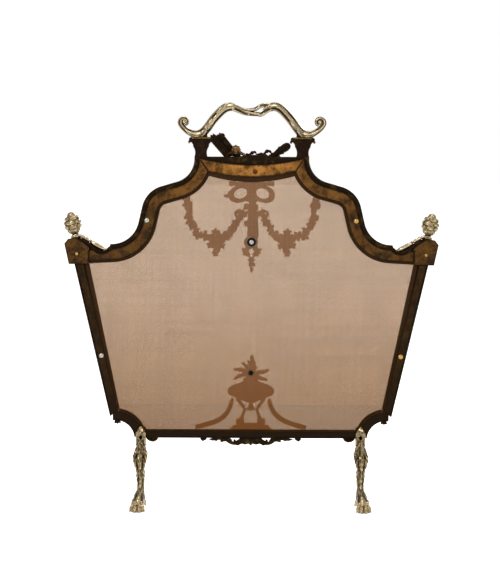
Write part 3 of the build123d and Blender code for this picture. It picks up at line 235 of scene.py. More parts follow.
def sheet_brass(colours):
    """Rolled brass strip with a brown patina: clouded and pitted, and darker lower down as painted
    shade.
    """
    material, add = new_material("patinated_brass_strip")
    place = add("TexCoord", output="Object")
    cloudy, spotted, scratched, uneven = (
        add("TexNoise", {"Vector": place, "Scale": 1 / (size_mm * MM), "Detail": detail,
                         "Roughness": roughness})
        for size_mm, detail, roughness in ((19.0, 6.0, 0.65), (18.0, 4.0, 0.55), (2.2, 8.0, 0.7),
                                           (6.0, 8.0, 0.6)))
    height = add("SeparateXYZ", [place], "Z")
    crest_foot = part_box("back_strip_crest")[0].z
    # Below the crest and where the shoulders begin, the strip darkens: painted shade.
    aside = add("Math", [add("SeparateXYZ", [place], "X")], operation="ABSOLUTE")
    shade_off_crest = add("Math", [add("MapRange", [height, crest_foot + 0.01, crest_foot - 0.06]),
                         add("MapRange", [aside, 0.055, 0.095, 0.0, 0.8])], **LARGER)
    # Lower still, and on the side rails, it darkens further to near black: painted shade.
    bottom = add("MapRange", [height, crest_foot - 0.30, crest_foot - 0.44])
    clouds = add("MapRange", [cloudy, 0.4, 0.6])
    upper = add("Mix", {0: clouds, 6: colours.sheet_top,
                        7: darker(colours.sheet_top, 0.2)}, **BLEND)
    beside = add("Mix", {0: clouds, 6: colours.sheet_side_shaded, 7: colours.sheet_low_shaded}, **BLEND)
    base = add("Mix", {0: shade_off_crest, 6: upper, 7: beside}, **BLEND)
    base = add("Mix", {0: bottom, 6: base, 7: colours.oxide_and_shade}, **BLEND)
    side_rail_shade = add("MapRange", [height, RAIL_HEAD, RAIL_HEAD - 0.007, 0.0, 0.72])
    base = add("Mix", {0: side_rail_shade, 6: base, 7: colours.oxide_and_shade}, **BLEND)
    pits = add("TexVoronoi", {"Vector": place, "Scale": 1 / (6.5 * MM)}, "Distance")
    pitted = add("Math", [add("MapRange", [pits, 0.24, 0.12]),
                          add("MapRange", [spotted, 0.42, 0.5])], **TIMES)
    scratches = add("MapRange", [scratched, 0.58, 0.72, 0.0, 0.6])
    colour = add("Mix", {0: add("Math", [pitted, scratches], **LARGER), 6: base, 7: colours.hollow_dirt_and_shade},
                 **BLEND)
    # Painted shade along the edges, where the rounded normal leaves the flat one, and in the gaps.
    rounded = add("Bevel", {"Radius": 3.4 * MM}, samples=8)
    flat = add("NewGeometry", output="True Normal")
    level = add("VectorMath", [rounded, flat], "Value", operation="DOT_PRODUCT")
    shut_in = add("AmbientOcclusion", {"Distance": 6 * MM}, "AO", samples=8)
    edge = add("Math", [add("MapRange", [level, 0.9995, 0.975, 0.0, 0.95]),
                        add("MapRange", [shut_in, 0.9, 0.5])], **LARGER)
    colour = add("Mix", {0: edge, 6: colour, 7: colours.hollow_dirt_and_shade}, **BLEND)
    bump = add("Bump", {"Strength": 0.5, "Distance": 0.5 * MM, "Height": uneven, "Normal": rounded})
    shader = add("BsdfPrincipled", {"Base Color": colour, "Metallic": 1.0, "Normal": bump,
                                    "Roughness": add("MapRange", [clouds, 0, 1, 0.34, 0.52])})
    add("OutputMaterial", {"Surface": shader})
    return material


def drawn_wire(colours):
    """Drawn brass wire, dulled by heat: an even brown with darker clouds across the panel, and
    painted shade low down and where a casting or the moulding lies before it.
    """
    material, add = new_material("dull_brass_wire")
    place = add("TexCoord", output="Object")
    height = add("SeparateXYZ", [place], "Z")
    cloudy = add("TexNoise", {"Vector": place, "Scale": 1 / (60.0 * MM), "Detail": 4.0,
                              "Roughness": 0.55})
    colour = add("Mix", {0: add("MapRange", [cloudy, 0.3, 0.75]), 6: colours.wire,
                         7: darker(colours.wire, 0.84)}, **BLEND)
    # Darker and warmer towards the foot: painted shade, for a shaded floor seen through the weave.
    low, high = [corner.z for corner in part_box("gauze_panel")]
    shade_near_foot = add("MapRange", [height, (low + high) / 2, low, 0.0, 0.8])
    colour = add("Mix", {0: shade_near_foot, 6: colour,
                         7: darker(colours.wire, 0.52, 0.34, 0.08)}, **BLEND)
    # No two wires have dulled quite alike, which is what lets the eye tell threads in the weave.
    threads = []
    for stretch in ((1.0, 0.0, 0.01), (0.01, 0.0, 1.0)):
        along = add("VectorMath", [place, stretch], operation="MULTIPLY")
        streaky = add("TexNoise", {"Vector": along, "Scale": 1 / (4.2 * MM), "Detail": 3.0})
        threads.append(add("MapRange", [streaky, 0.42, 0.6, 0.0, 0.34]))
    colour = add("Mix", {0: add("Math", threads, **LARGER), 6: colour,
                         7: darker(colours.wire, 0.4)}, **BLEND)
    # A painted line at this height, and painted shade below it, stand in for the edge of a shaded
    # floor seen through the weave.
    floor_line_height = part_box("front_bottom")[1].z + FLOOR_LINE_HEIGHT
    line = add("Math", [height, floor_line_height, 0.0011], operation="COMPARE")
    shade_below_line = add("MapRange", [height, floor_line_height + 0.0005, floor_line_height - 0.0005, 0.0, 0.1])
    floor_line_shade = add("Math", [add("Math", [line, 0.36], **TIMES), shade_below_line], **LARGER)
    colour = add("Mix", {0: floor_line_shade, 6: colour, 7: colours.hollow_dirt_and_shade}, **BLEND)
    # Where the moulding or a casting lies close before the gauze, its wires are darkened: painted
    # shade.
    wire_shade = add("Attribute", output="Fac", attribute_name="dirt_and_shade")
    colour = add("Mix", {0: add("MapRange", [wire_shade, 0.0, 0.5, 0.0, 0.54]), 6: colour,
                         7: darker(colours.wire, 0.26, 0.07, 0.0)}, **BLEND)
    colour = add("Mix", {0: add("MapRange", [wire_shade, 0.5, 1.0, 0.0, 0.86]), 6: colour,
                         7: colours.hollow_dirt_and_shade}, **BLEND)
    # Oxide covers the wire, so all that it shows is its own matt brown.
    shader = add("BsdfPrincipled", {"Base Color": colour, "Roughness": 0.8,
                                    "Specular IOR Level": 0.0})
    add("OutputMaterial", {"Surface": shader})
    return material


def worn_metal(name, colour, slot, rough):
    """A turned screw head or washer: lightly scratched, and darker in its slot with dirt and
    painted shade.
    """
    material, add = new_material(name)
    place = add("TexCoord", output="Object")
    shut_in = add("AmbientOcclusion", {"Distance": 1.5 * MM}, "AO", samples=8)
    scratched = add("TexNoise", {"Vector": place, "Scale": 1 / (2.0 * MM), "Detail": 5.0,
                                 "Roughness": 0.55})
    worn = add("Mix", {0: add("MapRange", [scratched, 0.4, 0.7]), 6: colour,
                       7: darker(colour, 0.45)}, **BLEND)
    colour = add("Mix", {0: add("MapRange", [shut_in, 0.9, 0.4]), 6: worn, 7: slot}, **BLEND)
    shader = add("BsdfPrincipled", {"Base Color": colour, "Metallic": 1.0, "Roughness": rough})
    add("OutputMaterial", {"Surface": shader})
    return material


def finish(name):
    """One of the shared finishes, made the first time that it is asked for."""
    made = bpy.data.materials.get(name)
    if made:
        return made
    colours = bpy.context.scene.fire_screen_colours
    # For cast brass: its colour, the depth of its hollows in mm, its roughness, how blotched it
    # is, and its back's colour. For screws and washers: their colour and roughness.
    cast = {
        "burnished_brass": (colours.burnished, 5.0, 0.17, 0.55),
        "chased_brass": (colours.chased, 6.0, 0.2, 0.95),
        "cast_brass_dark_back": (colours.cast, 7.0, 0.3, 0.4, colours.oxide_and_shade),
        "old_gilt_brass": (colours.gilt, 6.0, 0.34, 0.7, colours.gilt_back),
        "rubbed_cast_brass": (colours.rubbed, 5.0, 0.34, 0.9),
    }
    turned_metal = {
        "worn_steel": (colours.steel, 0.38),
        "worn_brass_screw": (colours.brass_screw, 0.38),
        "rusty_screw": (colours.rust, 0.6),
        "browned_washer": (colours.washer, 0.5),
        "blackened_screw": (colours.black_screw, 0.5),
    }
    if name in cast:
        bright, *others = cast[name]
        return cast_brass(name, bright, colours.hollow_dirt_and_shade, *others)
    if name in turned_metal:
        colour, rough = turned_metal[name]
        return worn_metal(name, colour, colours.slot, rough)
    return {"patinated_brass_strip": sheet_brass, "dull_brass_wire": drawn_wire}[name](colours)


# ---- shaping ------------------------------------------------------------------------------------


def smooth_line(points, per_span=6):
    """Points along a smooth curve through the given ones."""
    spots = [Vector(point) for point in points]
    spots = [2 * spots[0] - spots[1]] + spots + [2 * spots[-1] - spots[-2]]
    line = []
    for before, start, end, after in zip(spots, spots[1:], spots[2:], spots[3:]):
        line += interpolate_bezier(start, start + (end - before) / 6,
                                   end - (after - start) / 6, end, per_span + 1)[:-1]
    return line + [spots[-2]]


def flat_line(points, depth, side=1, per_span=6, level=0.0):
    """A smooth line at one depth through (x, height over the level) points; side -1 mirrors it."""
    return smooth_line([(side * x, depth, level + z) for x, z in points], per_span)


def dirt_and_shade_layer(bm):
    """The form's record of how much old dirt and painted shade lies at each point."""
    layers = bm.verts.layers.float
    return layers.get("dirt_and_shade") or layers.new("dirt_and_shade")


def skin(bm, line, section, sides=16, face=FRONT):
    """Wrap a closed skin round a line.

    section(share, turn) gives a point's offsets across the line and towards the given face, and how
    much dirt and painted shade lies there.
    """
    dirt_and_shade = dirt_and_shade_layer(bm)
    rows = len(line) - 1
    ring = (line[0] - line[-1]).length < 0.01
    grid = bmesh.ops.create_grid(bm, x_segments=rows, y_segments=sides, size=0.5)
    for vert in grid["verts"]:
        share, turn = vert.co.x + 0.5, (vert.co.y + 0.5) * 2 * pi
        index = round(share * rows)
        if ring:
            ahead = line[(index + 1) % rows] - line[(index - 1) % rows]
        else:
            ahead = line[min(index + 1, rows)] - line[max(index - 1, 0)]
        across = ahead.normalized().cross(face).normalized()
        out = across.cross(ahead.normalized())
        sideways, forward, vert[dirt_and_shade] = section(share, turn)
        vert.co = line[index] + across * sideways + out * forward
    bmesh.ops.remove_doubles(bm, verts=grid["verts"], dist=0.002)


def between(share, stations):
    """A value read smoothly from (share, value) stations."""
    for (start, low), (end, high) in zip(stations, stations[1:]):
        if share <= end:
            part = max(0.0, (share - start) / (end - start))
            return low + (high - low) * part * part * (3 - 2 * part)
    return stations[-1][1]


def blunt(share, cap):
    """A factor that closes both ends of a form roundly, over this share of its length."""
    near = min(share, 1 - share) / cap
    return sqrt(max(0.0, 1 - (1 - min(near, 1)) ** 2))


def rod(bm, line, stations, sides=12, flat=1.0, cap=0.04, ripple=0.0, waves=3, twist=0.0):
    """A round or flattened bar whose radius follows its stations, with optional long flutes,
    dark in their hollows with dirt and painted shade.
    """
    def section(share, turn):
        radius = between(share, stations) * blunt(share, cap)
        flute = cos(waves * turn + twist * share) if ripple else 1.0
        radius *= 1 + ripple * flute
        return radius * cos(turn), radius * flat * sin(turn), max(0.0, 0.68 - 0.75 * flute)
    skin(bm, line, section, sides)


def leaf(bm, line, breadth, thickness, lobes=4, depth=0.3, face=FRONT, sides=20, fullness=0.7):
    """An acanthus leaf: lobed edges, a raised rib, and veins that run out to the lobes.

    A fullness of 0.7 gives a pointed tip, and 0.4 a round one.
    """
    def section(share, turn):
        envelope = sin(pi * min(1.0, share ** 0.75)) ** fullness if 0 < share < 1 else 0.0
        out = cos(turn)
        lobe = 1 - depth * (0.5 - 0.5 * cos(2 * pi * (lobes * share - 0.25 * abs(out))))
        half = breadth / 2 * envelope * (1 - (1 - lobe) * abs(out))
        vein = 0.22 * cos(2 * pi * (lobes * share - 0.9 * abs(out))) * abs(out)
        rib = 0.45 * exp(-(out / 0.22) ** 2) if sin(turn) > 0 else 0.0
        rise = thickness * (0.5 * sin(turn) + (rib + vein if sin(turn) > 0 else 0)) * envelope
        # Dirt and painted shade along the outline, in the veins and at the stalk.
        outline = max(0.0, abs(out) - 0.62) * 4
        veins = 0.85 * max(0.0, 0.05 - 3.6 * vein) if abs(out) > 0.25 else 0.0
        stalk = 0.9 if share < 0.05 else 0.0
        return half * out, rise, min(1.0, max(outline, veins, stalk))
    skin(bm, line, section, sides, face)


def set_out(centre, sizes, turn):
    """The matrix that stretches a form to its sizes, turns it and sets it in its place."""
    return Matrix.Translation(centre) @ (turn or Matrix.Identity(4)) @ Matrix.Diagonal((*sizes, 1))


def ball(bm, centre, radii, turn=None, segments=10, rim=0.0):
    """A smooth pebble of three radii, turned in its place, with dirt and painted shade round it
    below its rim.
    """
    dirt_and_shade = dirt_and_shade_layer(bm)
    matrix = set_out(centre, radii, turn)
    made = bmesh.ops.create_uvsphere(bm, u_segments=segments, v_segments=max(5, segments * 2 // 3),
                                     radius=1, matrix=matrix)
    for vert in made["verts"] if rim else ():
        spot = matrix.inverted() @ vert.co
        vert[dirt_and_shade] = 1.0 if spot.y < rim or spot.z < -0.75 else 0.0


def slab(bm, centre, sides, turn=None):
    """A plain block of three sides, turned in its place."""
    return bmesh.ops.create_cube(bm, size=1, matrix=set_out(centre, sides, turn))["verts"]


def in_face(angle):
    """A turn in the plane of the gauze, by an angle from +X towards +Z."""
    return Matrix.Rotation(-angle, 4, "Y")


def flower(bm, x, z, radius, petals=6, depth=GAUZE_FACE, rise=4.0, start=0.0):
    """An open flower that faces forward: cupped petals round a seeded heart."""
    for index in range(petals):
        angle = start + 2 * pi * index / petals
        centre = Vector((x + radius * 0.58 * cos(angle), depth - rise * 0.3,
                         z + radius * 0.58 * sin(angle)))
        ball(bm, centre, (radius * 0.46, rise * 0.55, radius * 0.34), in_face(angle), 8)
    ball(bm, Vector((x, depth - rise * 0.6, z)), (radius * 0.3, rise * 0.55, radius * 0.3))


def turned(bm, foot, axis, profile, sides=24, flutes=0, cut=0.0, grime_and_shade=0.0):
    """A turned form on an axis through (height, radius) stations, with optional flutes.

    Dirt and painted shade lie in the flutes' hollows, and the last argument sets how much lies all
    over.
    """
    along = Vector(axis).normalized()
    line = [Vector(foot) + along * height for height, _ in profile]
    face = FRONT if abs(along.dot(FRONT)) < 0.9 else UP

    def section(share, turn):
        radius = profile[round(share * (len(profile) - 1))][1]
        flute = 0.5 - 0.5 * cos(flutes * turn) if flutes else 0.0
        radius *= 1 - cut * flute
        return radius * cos(turn), radius * sin(turn), max(grime_and_shade, 1.2 * flute - 0.2)
    skin(bm, line, section, sides, face)


def piece(bm, name, finish_name, slot, *replaced, flat_back=None, sharp=1.2):
    """Close a form, smooth it, put it in the scene and let it ride on the screen's one body."""
    bmesh.ops.remove_doubles(bm, verts=bm.verts, dist=0.002)
    bmesh.ops.recalc_face_normals(bm, faces=bm.faces)
    if flat_back is not None:
        for vert in bm.verts:
            vert.co.y = min(vert.co.y, flat_back)
    for face in bm.faces:
        face.smooth = True
    for edge in bm.edges:
        edge.smooth = len(edge.link_faces) != 2 or edge.calc_face_angle(0) < sharp
    bmesh.ops.scale(bm, verts=bm.verts, vec=(MM, MM, MM))
    mesh = bpy.data.meshes.new(name)
    bm.to_mesh(mesh)
    bm.free()
    mesh.materials.append(finish(finish_name))
    made = bpy.data.objects.new(name, mesh)
    bpy.context.scene.collection.objects.link(made)
    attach(made, "root")
    if replaced:
        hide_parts(*replaced)


def smoothed_copy(node, finish_name, slot):
    """Make a frame node's piece from its own triangles, joined so that curves shade smoothly."""
    bm = bmesh.new()
    bm.from_mesh(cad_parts[node].data)
    bmesh.ops.scale(bm, verts=bm.verts, vec=(1 / MM,) * 3)
    piece(bm, f"{node}_finished", finish_name, slot, node, sharp=0.45)


def walk(start, heading, moves, inset=0.0, step=4.0):
    """Points along straights and arcs laid end to end, offset to the right of the walk.

    A move is ("straight", length), ("left", radius, turn) or ("right", radius, turn).
    """
    x, z = start
    heading = radians(heading)
    points = [(x + inset * sin(heading), z - inset * cos(heading))]
    for kind, size, *turn in moves:
        sense = {"straight": 0, "left": 1, "right": -1}[kind]
        length = radians(turn[0]) * size if turn else size
        parts = max(1, round(length / step))
        for _ in range(parts):
            bend = sense * length / size / parts
            chord = length / parts if not sense else 2 * size * sin(abs(bend) / 2)
            x += chord * cos(heading + bend / 2)
            z += chord * sin(heading + bend / 2)
            heading += bend
            points.append((x + inset * sin(heading), z - inset * cos(heading)))
    return points


# ---- the gauze ----------------------------------------------------------------------------------


CUT_GAP = 0.02               # keeps a wire's clean and dirty stretches from being joined
CAST_REACH = 16.0            # how far before the gauze a casting still darkens the wires behind it with painted shade
CASTINGS = ("bow_casting", "drop_casting", "brazier_casting", "flames_casting",
            *(f"{form}_casting_{side}" for form in ("festoon", "drape") for side, _ in SIDES))


def crossings(tree, start, along):
    """The stretches of a straight line that lie inside a closed form."""
    stretches, enter, origin = [], None, Vector(start)
    while True:
        spot = tree.ray_cast(origin, along)[0]
        if spot is None:
            return stretches
        if enter is None:
            enter = spot
        else:
            stretches.append((enter, spot))
            enter = None
        origin = spot + along * 0.01 * MM


def search_tree(node):
    """A search tree over a frame node."""
    form = bmesh.new()
    form.from_mesh(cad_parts[node].data)
    tree = BVHTree.FromBMesh(form)
    form.free()
    return tree


def casting_tree():
    """One search tree over the finished castings that lie on the front of the gauze."""
    points, faces = [], []
    for name in CASTINGS:
        made = bpy.data.objects.get(name)
        if made is None:
            raise RuntimeError(f"{name} is made before the gauze")
        faces += [[len(points) + number for number in face.vertices] for face in made.data.polygons]
        points += [vert.co.copy() for vert in made.data.vertices]
    return BVHTree.FromPolygons(points, faces)


def veiled_stretches(castings, enter, first, last, along, step):
    """The stretches of a wire, as places along it, that have a casting close in front of them."""
    stretches, since = [], None
    for number in range(int((last - first) / step) + 1):
        place = first + number * step
        spot = enter + along * (place - first)
        over = castings.ray_cast(spot, FRONT, CAST_REACH * MM)[0] is not None
        if over and since is None:
            since = place - step / 2
        elif since is not None and not over:
            stretches.append((since, place - step / 2))
            since = None
    if since is not None:
        stretches.append((since, last))
    return stretches


class FIRESCREEN_OT_gauze(Operator):
    """Weave the open wire gauze over the panel's outline"""
    bl_idname = "firescreen.gauze"
    bl_label = "Gauze"

    def execute(self, context):
        sizes = context.scene.fire_screen_sizes
        panel = search_tree("gauze_panel")
        rims = [search_tree(node) for node in FRONT_PARTS]
        castings = casting_tree()
        low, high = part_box("gauze_panel")
        radius = sizes.wire_diameter / 2 / MM
        step = sizes.gauze_pitch

        def thickened_low(height):
            """The wire's radius at a height: thickened by up to 14% towards the foot, so that less
            white shows through there, as painted shade.
            """
            return radius * (1 + 0.14 * min(1.0, max(0.0, (0.5 - height) / 0.3)))
        # The warp stands and the weft lies across it; straight wires in two layers that press into
        # each other at the crossings read as a weave at this fineness.
        for name, along, across, lift in (("warp", UP, RIGHT, 0.25), ("weft", RIGHT, UP, -0.25)):
            bm = bmesh.new()
            dirt_and_shade = dirt_and_shade_layer(bm)
            across_low, across_high = low.dot(across), high.dot(across)
            turn = Matrix.Identity(4) if along is UP else Matrix.Rotation(pi / 2, 4, "Y")
            for index in range(int((across_high - across_low) / step)):
                start = along * (low.dot(along) - MM) + across * (across_low + (index + 0.5) * step)
                # The same line through the moulding, just in front of the wire.
                before = start + FRONT * (1.2 - GAUZE_FACE) * MM - along * 0.2
                hidden = [[spot.dot(along) for spot in stretch]
                          for rim in rims for stretch in crossings(rim, before, along)]
                for enter, leave in crossings(panel, start, along):
                    first, last = enter.dot(along), leave.dot(along)
                    veiled = veiled_stretches(castings, enter, first, last, along, step)
                    ends = sorted({first, last, *(end for stretch in hidden + veiled
                                                  for end in stretch if first < end < last)})
                    for begin, end in zip(ends, ends[1:]):
                        centre = (begin + end) / 2
                        middle = (enter + along * (centre - first)) / MM + BACK * radius * lift
                        heights = (begin, end) if along is UP else (start.z, start.z)
                        made = bmesh.ops.create_cone(
                            bm, cap_ends=True, segments=6, radius1=thickened_low(heights[0]),
                            radius2=thickened_low(heights[1]), depth=(end - begin) / MM - CUT_GAP,
                            matrix=Matrix.Translation(middle) @ turn)
                        covered = any(near < centre < far for near, far in hidden)
                        shaded = any(near < centre < far for near, far in veiled)
                        # Wires with the moulding before them get full painted shade, and those with
                        # a casting close before them half.
                        for vert in made["verts"] if covered or shaded else ():
                            vert[dirt_and_shade] = 1.0 if covered else 0.5
            if not bm.verts:
                raise RuntimeError(f"no {name} wire crosses the panel")
            piece(bm, f"gauze_{name}", "dull_brass_wire", "gauze", "gauze_panel", sharp=1.3)
        return {"FINISHED"}


# ---- the frame ----------------------------------------------------------------------------------


FRONT_PARTS, STRIP_PARTS = (
    [f"{row}_crest", f"{row}_bottom"] + [f"{row}_{name}_{side}" for side, _ in SIDES
                                         for name in ("shoulder", "side", "corner")]
    for row in ("front", "back_strip"))


class FIRESCREEN_OT_frame(Operator):
    """Finish the cast front moulding, the back strips and the corner blocks"""
    bl_idname = "firescreen.frame"
    bl_label = "Frame and strips"

    def execute(self, context):
        for node in FRONT_PARTS:
            smoothed_copy(node, "cast_brass_dark_back", "cast_gilt")
        for node in STRIP_PARTS + [f"block_plate_{side}" for side, _ in SIDES]:
            smoothed_copy(node, "patinated_brass_strip", "strip_brown")
        for side, _ in SIDES:
            smoothed_copy(f"corner_block_{side}", "old_gilt_brass", "block_gilt")
            smoothed_copy(f"pedestal_{side}", "old_gilt_brass", "polished_gilt")
        return {"FINISHED"}


CREST_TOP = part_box("front_crest")[1].z / MM
PEARL_DEPTH = 6.6            # middle of the pearls, over the moulding's hollow
PEARL_SPACING = 2.15         # pearl to pearl, in their radii
SHOULDER_MOVES = [("straight", 4.0), ("left", 43.5, 74), ("straight", 29.5), ("right", 49.0, 61),
                  ("straight", 31.0), ("left", 50.0, 74), ("straight", 36.0)]


def pearl_routes():
    """The right half of the hollow's middle line: crest, shoulder, side rail and corner."""
    crest = [(2.0, CREST_TOP - 22.5), (42.0, CREST_TOP - 21.0), (80.0, CREST_TOP - 18.0)]
    shoulder = walk((103.75, CREST_TOP), -90, SHOULDER_MOVES, inset=17.0)[3:]
    side = [(309.5, 441.0), (246.0, 174.0)]
    corner = walk((245.0, 172.0), 180, [("left", 44.0, 50)])
    return crest, shoulder, side, corner


class FIRESCREEN_OT_pearls(Operator):
    """Run a row of cast pearls along the hollow of the front moulding"""
    bl_idname = "firescreen.pearls"
    bl_label = "Pearls"

    def execute(self, context):
        radius = context.scene.fire_screen_sizes.pearl_diameter / 2 / MM
        bm = bmesh.new()
        for route in pearl_routes():
            line = flat_line(route, 0, per_span=2)
            for side in (1, -1):
                left_over = 0.0
                for start, end in zip(line, line[1:]):
                    run = (end - start).length
                    while left_over < run:
                        spot = start.lerp(end, left_over / run)
                        centre = Vector((side * spot.x, -PEARL_DEPTH, spot.z))
                        ball(bm, centre, (radius, radius, radius), segments=6)
                        left_over += radius * PEARL_SPACING
                    left_over -= run
        piece(bm, "sight_edge_pearls", "old_gilt_brass", "cast_gilt", sharp=2.0)
        return {"FINISHED"}


# ---- corner blocks ------------------------------------------------------------------------------


BLOCK_LEAN = radians(12.5)
FINIAL_SEAT = (318.3, -10.0, 493.8)
# The cone's outline, as the share of its height and of its widest reach.
CONE_FORM = [(0.0, 0.66), (0.15, 0.9), (0.35, 1.0), (0.6, 0.94), (0.8, 0.8), (0.92, 0.62),
             (1.0, 0.4)]
CONE_FOOT, CONE_HEIGHT, CONE_REACH = 11.5, 31.5, 15.7


class FIRESCREEN_OT_finials(Operator):
    """Cast the two pine-cone finials, leaning outwards with their blocks"""
    bl_idname = "firescreen.finials"
    bl_label = "Pine-cone finials"

    def execute(self, context):
        sizes = context.scene.fire_screen_sizes
        for name, side in SIDES:
            bm = bmesh.new()
            seat = Vector((side, 1, 1)) * Vector(FINIAL_SEAT)
            axis = Vector((side * sin(BLOCK_LEAN), 0, cos(BLOCK_LEAN)))
            neck = [(-1.5, 0), (-1.5, 7.6), (0, 8.4), (1.2, 8.8), (2.4, 8.2), (3.2, 5.8),
                    (5.0, 5.0), (6.6, 5.6), (7.6, 8.0), (8.6, 8.6), (9.6, 7.8), (9.6, 0)]
            turned(bm, seat, axis, neck, sides=28)
            # The core between the scales is dark all over: painted shade.
            core = [(9.0, 0), (9.0, 7.6), (12, 10.4), (19, 13.0), (29, 12.8), (37, 10.0), (42, 6.6),
                    (44, 0)]
            turned(bm, seat, axis, core, sides=28, grime_and_shade=1.0)
            across = axis.cross(FRONT).normalized()
            for row in range(sizes.cone_rows):
                share = row / (sizes.cone_rows - 1)
                height = CONE_FOOT + CONE_HEIGHT * share
                reach = CONE_REACH * between(share, CONE_FORM)
                count = max(4, round(sizes.cone_scales * (1 - 0.45 * share)))
                width = 2 * pi * reach / count * 0.56
                for index in range(count):
                    angle = 2 * pi * (index + 0.5 * (row % 2)) / count
                    outward = across * cos(angle) + FRONT * sin(angle)
                    level = axis * cos(0.5 - share) + outward * sin(0.5 - share)
                    basis = Matrix((level.cross(outward), outward, level)).transposed().to_4x4()
                    spot = seat + axis * height + outward * (reach - 2.0)
                    scale = (width * 0.82, 3.2 - 0.8 * share, 4.9 - 1.2 * share)
                    ball(bm, spot, scale, basis, 12, rim=0.78)
            ball(bm, seat + axis * 44.6, (2.6, 2.6, 2.4))
            piece(bm, f"pine_cone_{name}", "chased_brass", "polished_gilt", f"finial_{name}")
        return {"FINISHED"}


class FIRESCREEN_OT_block_ornament(Operator):
    """Set a rosette on each block and a leafy scroll down its inner side"""
    bl_idname = "firescreen.block_ornament"
    bl_label = "Block ornament"

    def execute(self, context):
        for name, side in SIDES:
            low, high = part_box(f"block_rosette_{name}")
            centre = (low + high) / 2 / MM
            bm = bmesh.new()
            seat = high.y / MM
            flower(bm, centre.x, centre.z, 11.0, petals=8, depth=seat, rise=3.6)
            flower(bm, centre.x, centre.z, 6.0, petals=8, depth=seat - 1.6, rise=3.0, start=0.4)
            piece(bm, f"block_patera_{name}", "cast_brass_dark_back", "block_gilt",
                  f"block_rosette_{name}", flat_back=seat)
            bm = bmesh.new()
            depth = -7.0
            # Three small curls under the finial, then one long wedge down to the dip in the rail.
            curl = [(327, 494.0), (317, 498.0), (308, 496.0), (300, 491.5), (291, 486.5)]
            rod(bm, flat_line(curl, depth, side), [(0, 2.4), (0.4, 2.9), (1, 2.6)],
                flat=2.0, cap=0.1)
            for x, z, radius in ((304.0, 495.8, 2.6), (297.0, 491.8, 2.6), (290.5, 488.0, 2.4)):
                ball(bm, Vector((side * x, depth, z)), (radius, radius * 2.2, radius), segments=14)
            wedge = [(293, 486.5), (284, 482.0), (276, 477.8), (267, 473.2), (258, 469.5)]
            rod(bm, flat_line(wedge, depth, side),
                [(0, 2.6), (0.25, 4.2), (0.6, 4.3), (1, 1.6)], flat=1.7, cap=0.12, sides=20)
            piece(bm, f"block_scroll_{name}", "burnished_brass", "polished_gilt",
                  f"block_leaf_{name}")
            bm = bmesh.new()
            bed = [(318, 491.0), (308, 487.5), (299, 482.5), (289, 476.5), (278, 471.5),
                   (266, 466.5)]
            rod(bm, flat_line(bed, depth, side),
                [(0, 3.0), (0.3, 5.6), (0.6, 4.4), (1, 3.0)], flat=1.5, cap=0.1, sides=20)
            piece(bm, f"scroll_seat_{name}", "old_gilt_brass", "polished_gilt")
            bm = bmesh.new()
            curl = [(238, 477.5), (247, 477.8), (255, 475.6), (260.5, 470.5), (259, 466.5),
                    (255.5, 467.5)]
            rod(bm, flat_line(curl, -9.0, side),
                [(0, 1.2), (0.3, 3.2), (0.8, 3.0), (1, 2.0)], flat=1.3, cap=0.08)
            over = [(262, 470), (252, 474), (242, 476), (230, 480)]
            leaf(bm, flat_line(over, -10.5, side), 9.0, 4.0, 3)
            piece(bm, f"rail_knuckle_{name}", "cast_brass_dark_back", "cast_gilt")
        return {"FINISHED"}


# ---- handle and trophy --------------------------------------------------------------------------


CAP_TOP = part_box("pedestal_right")[1].z / MM - 8.0


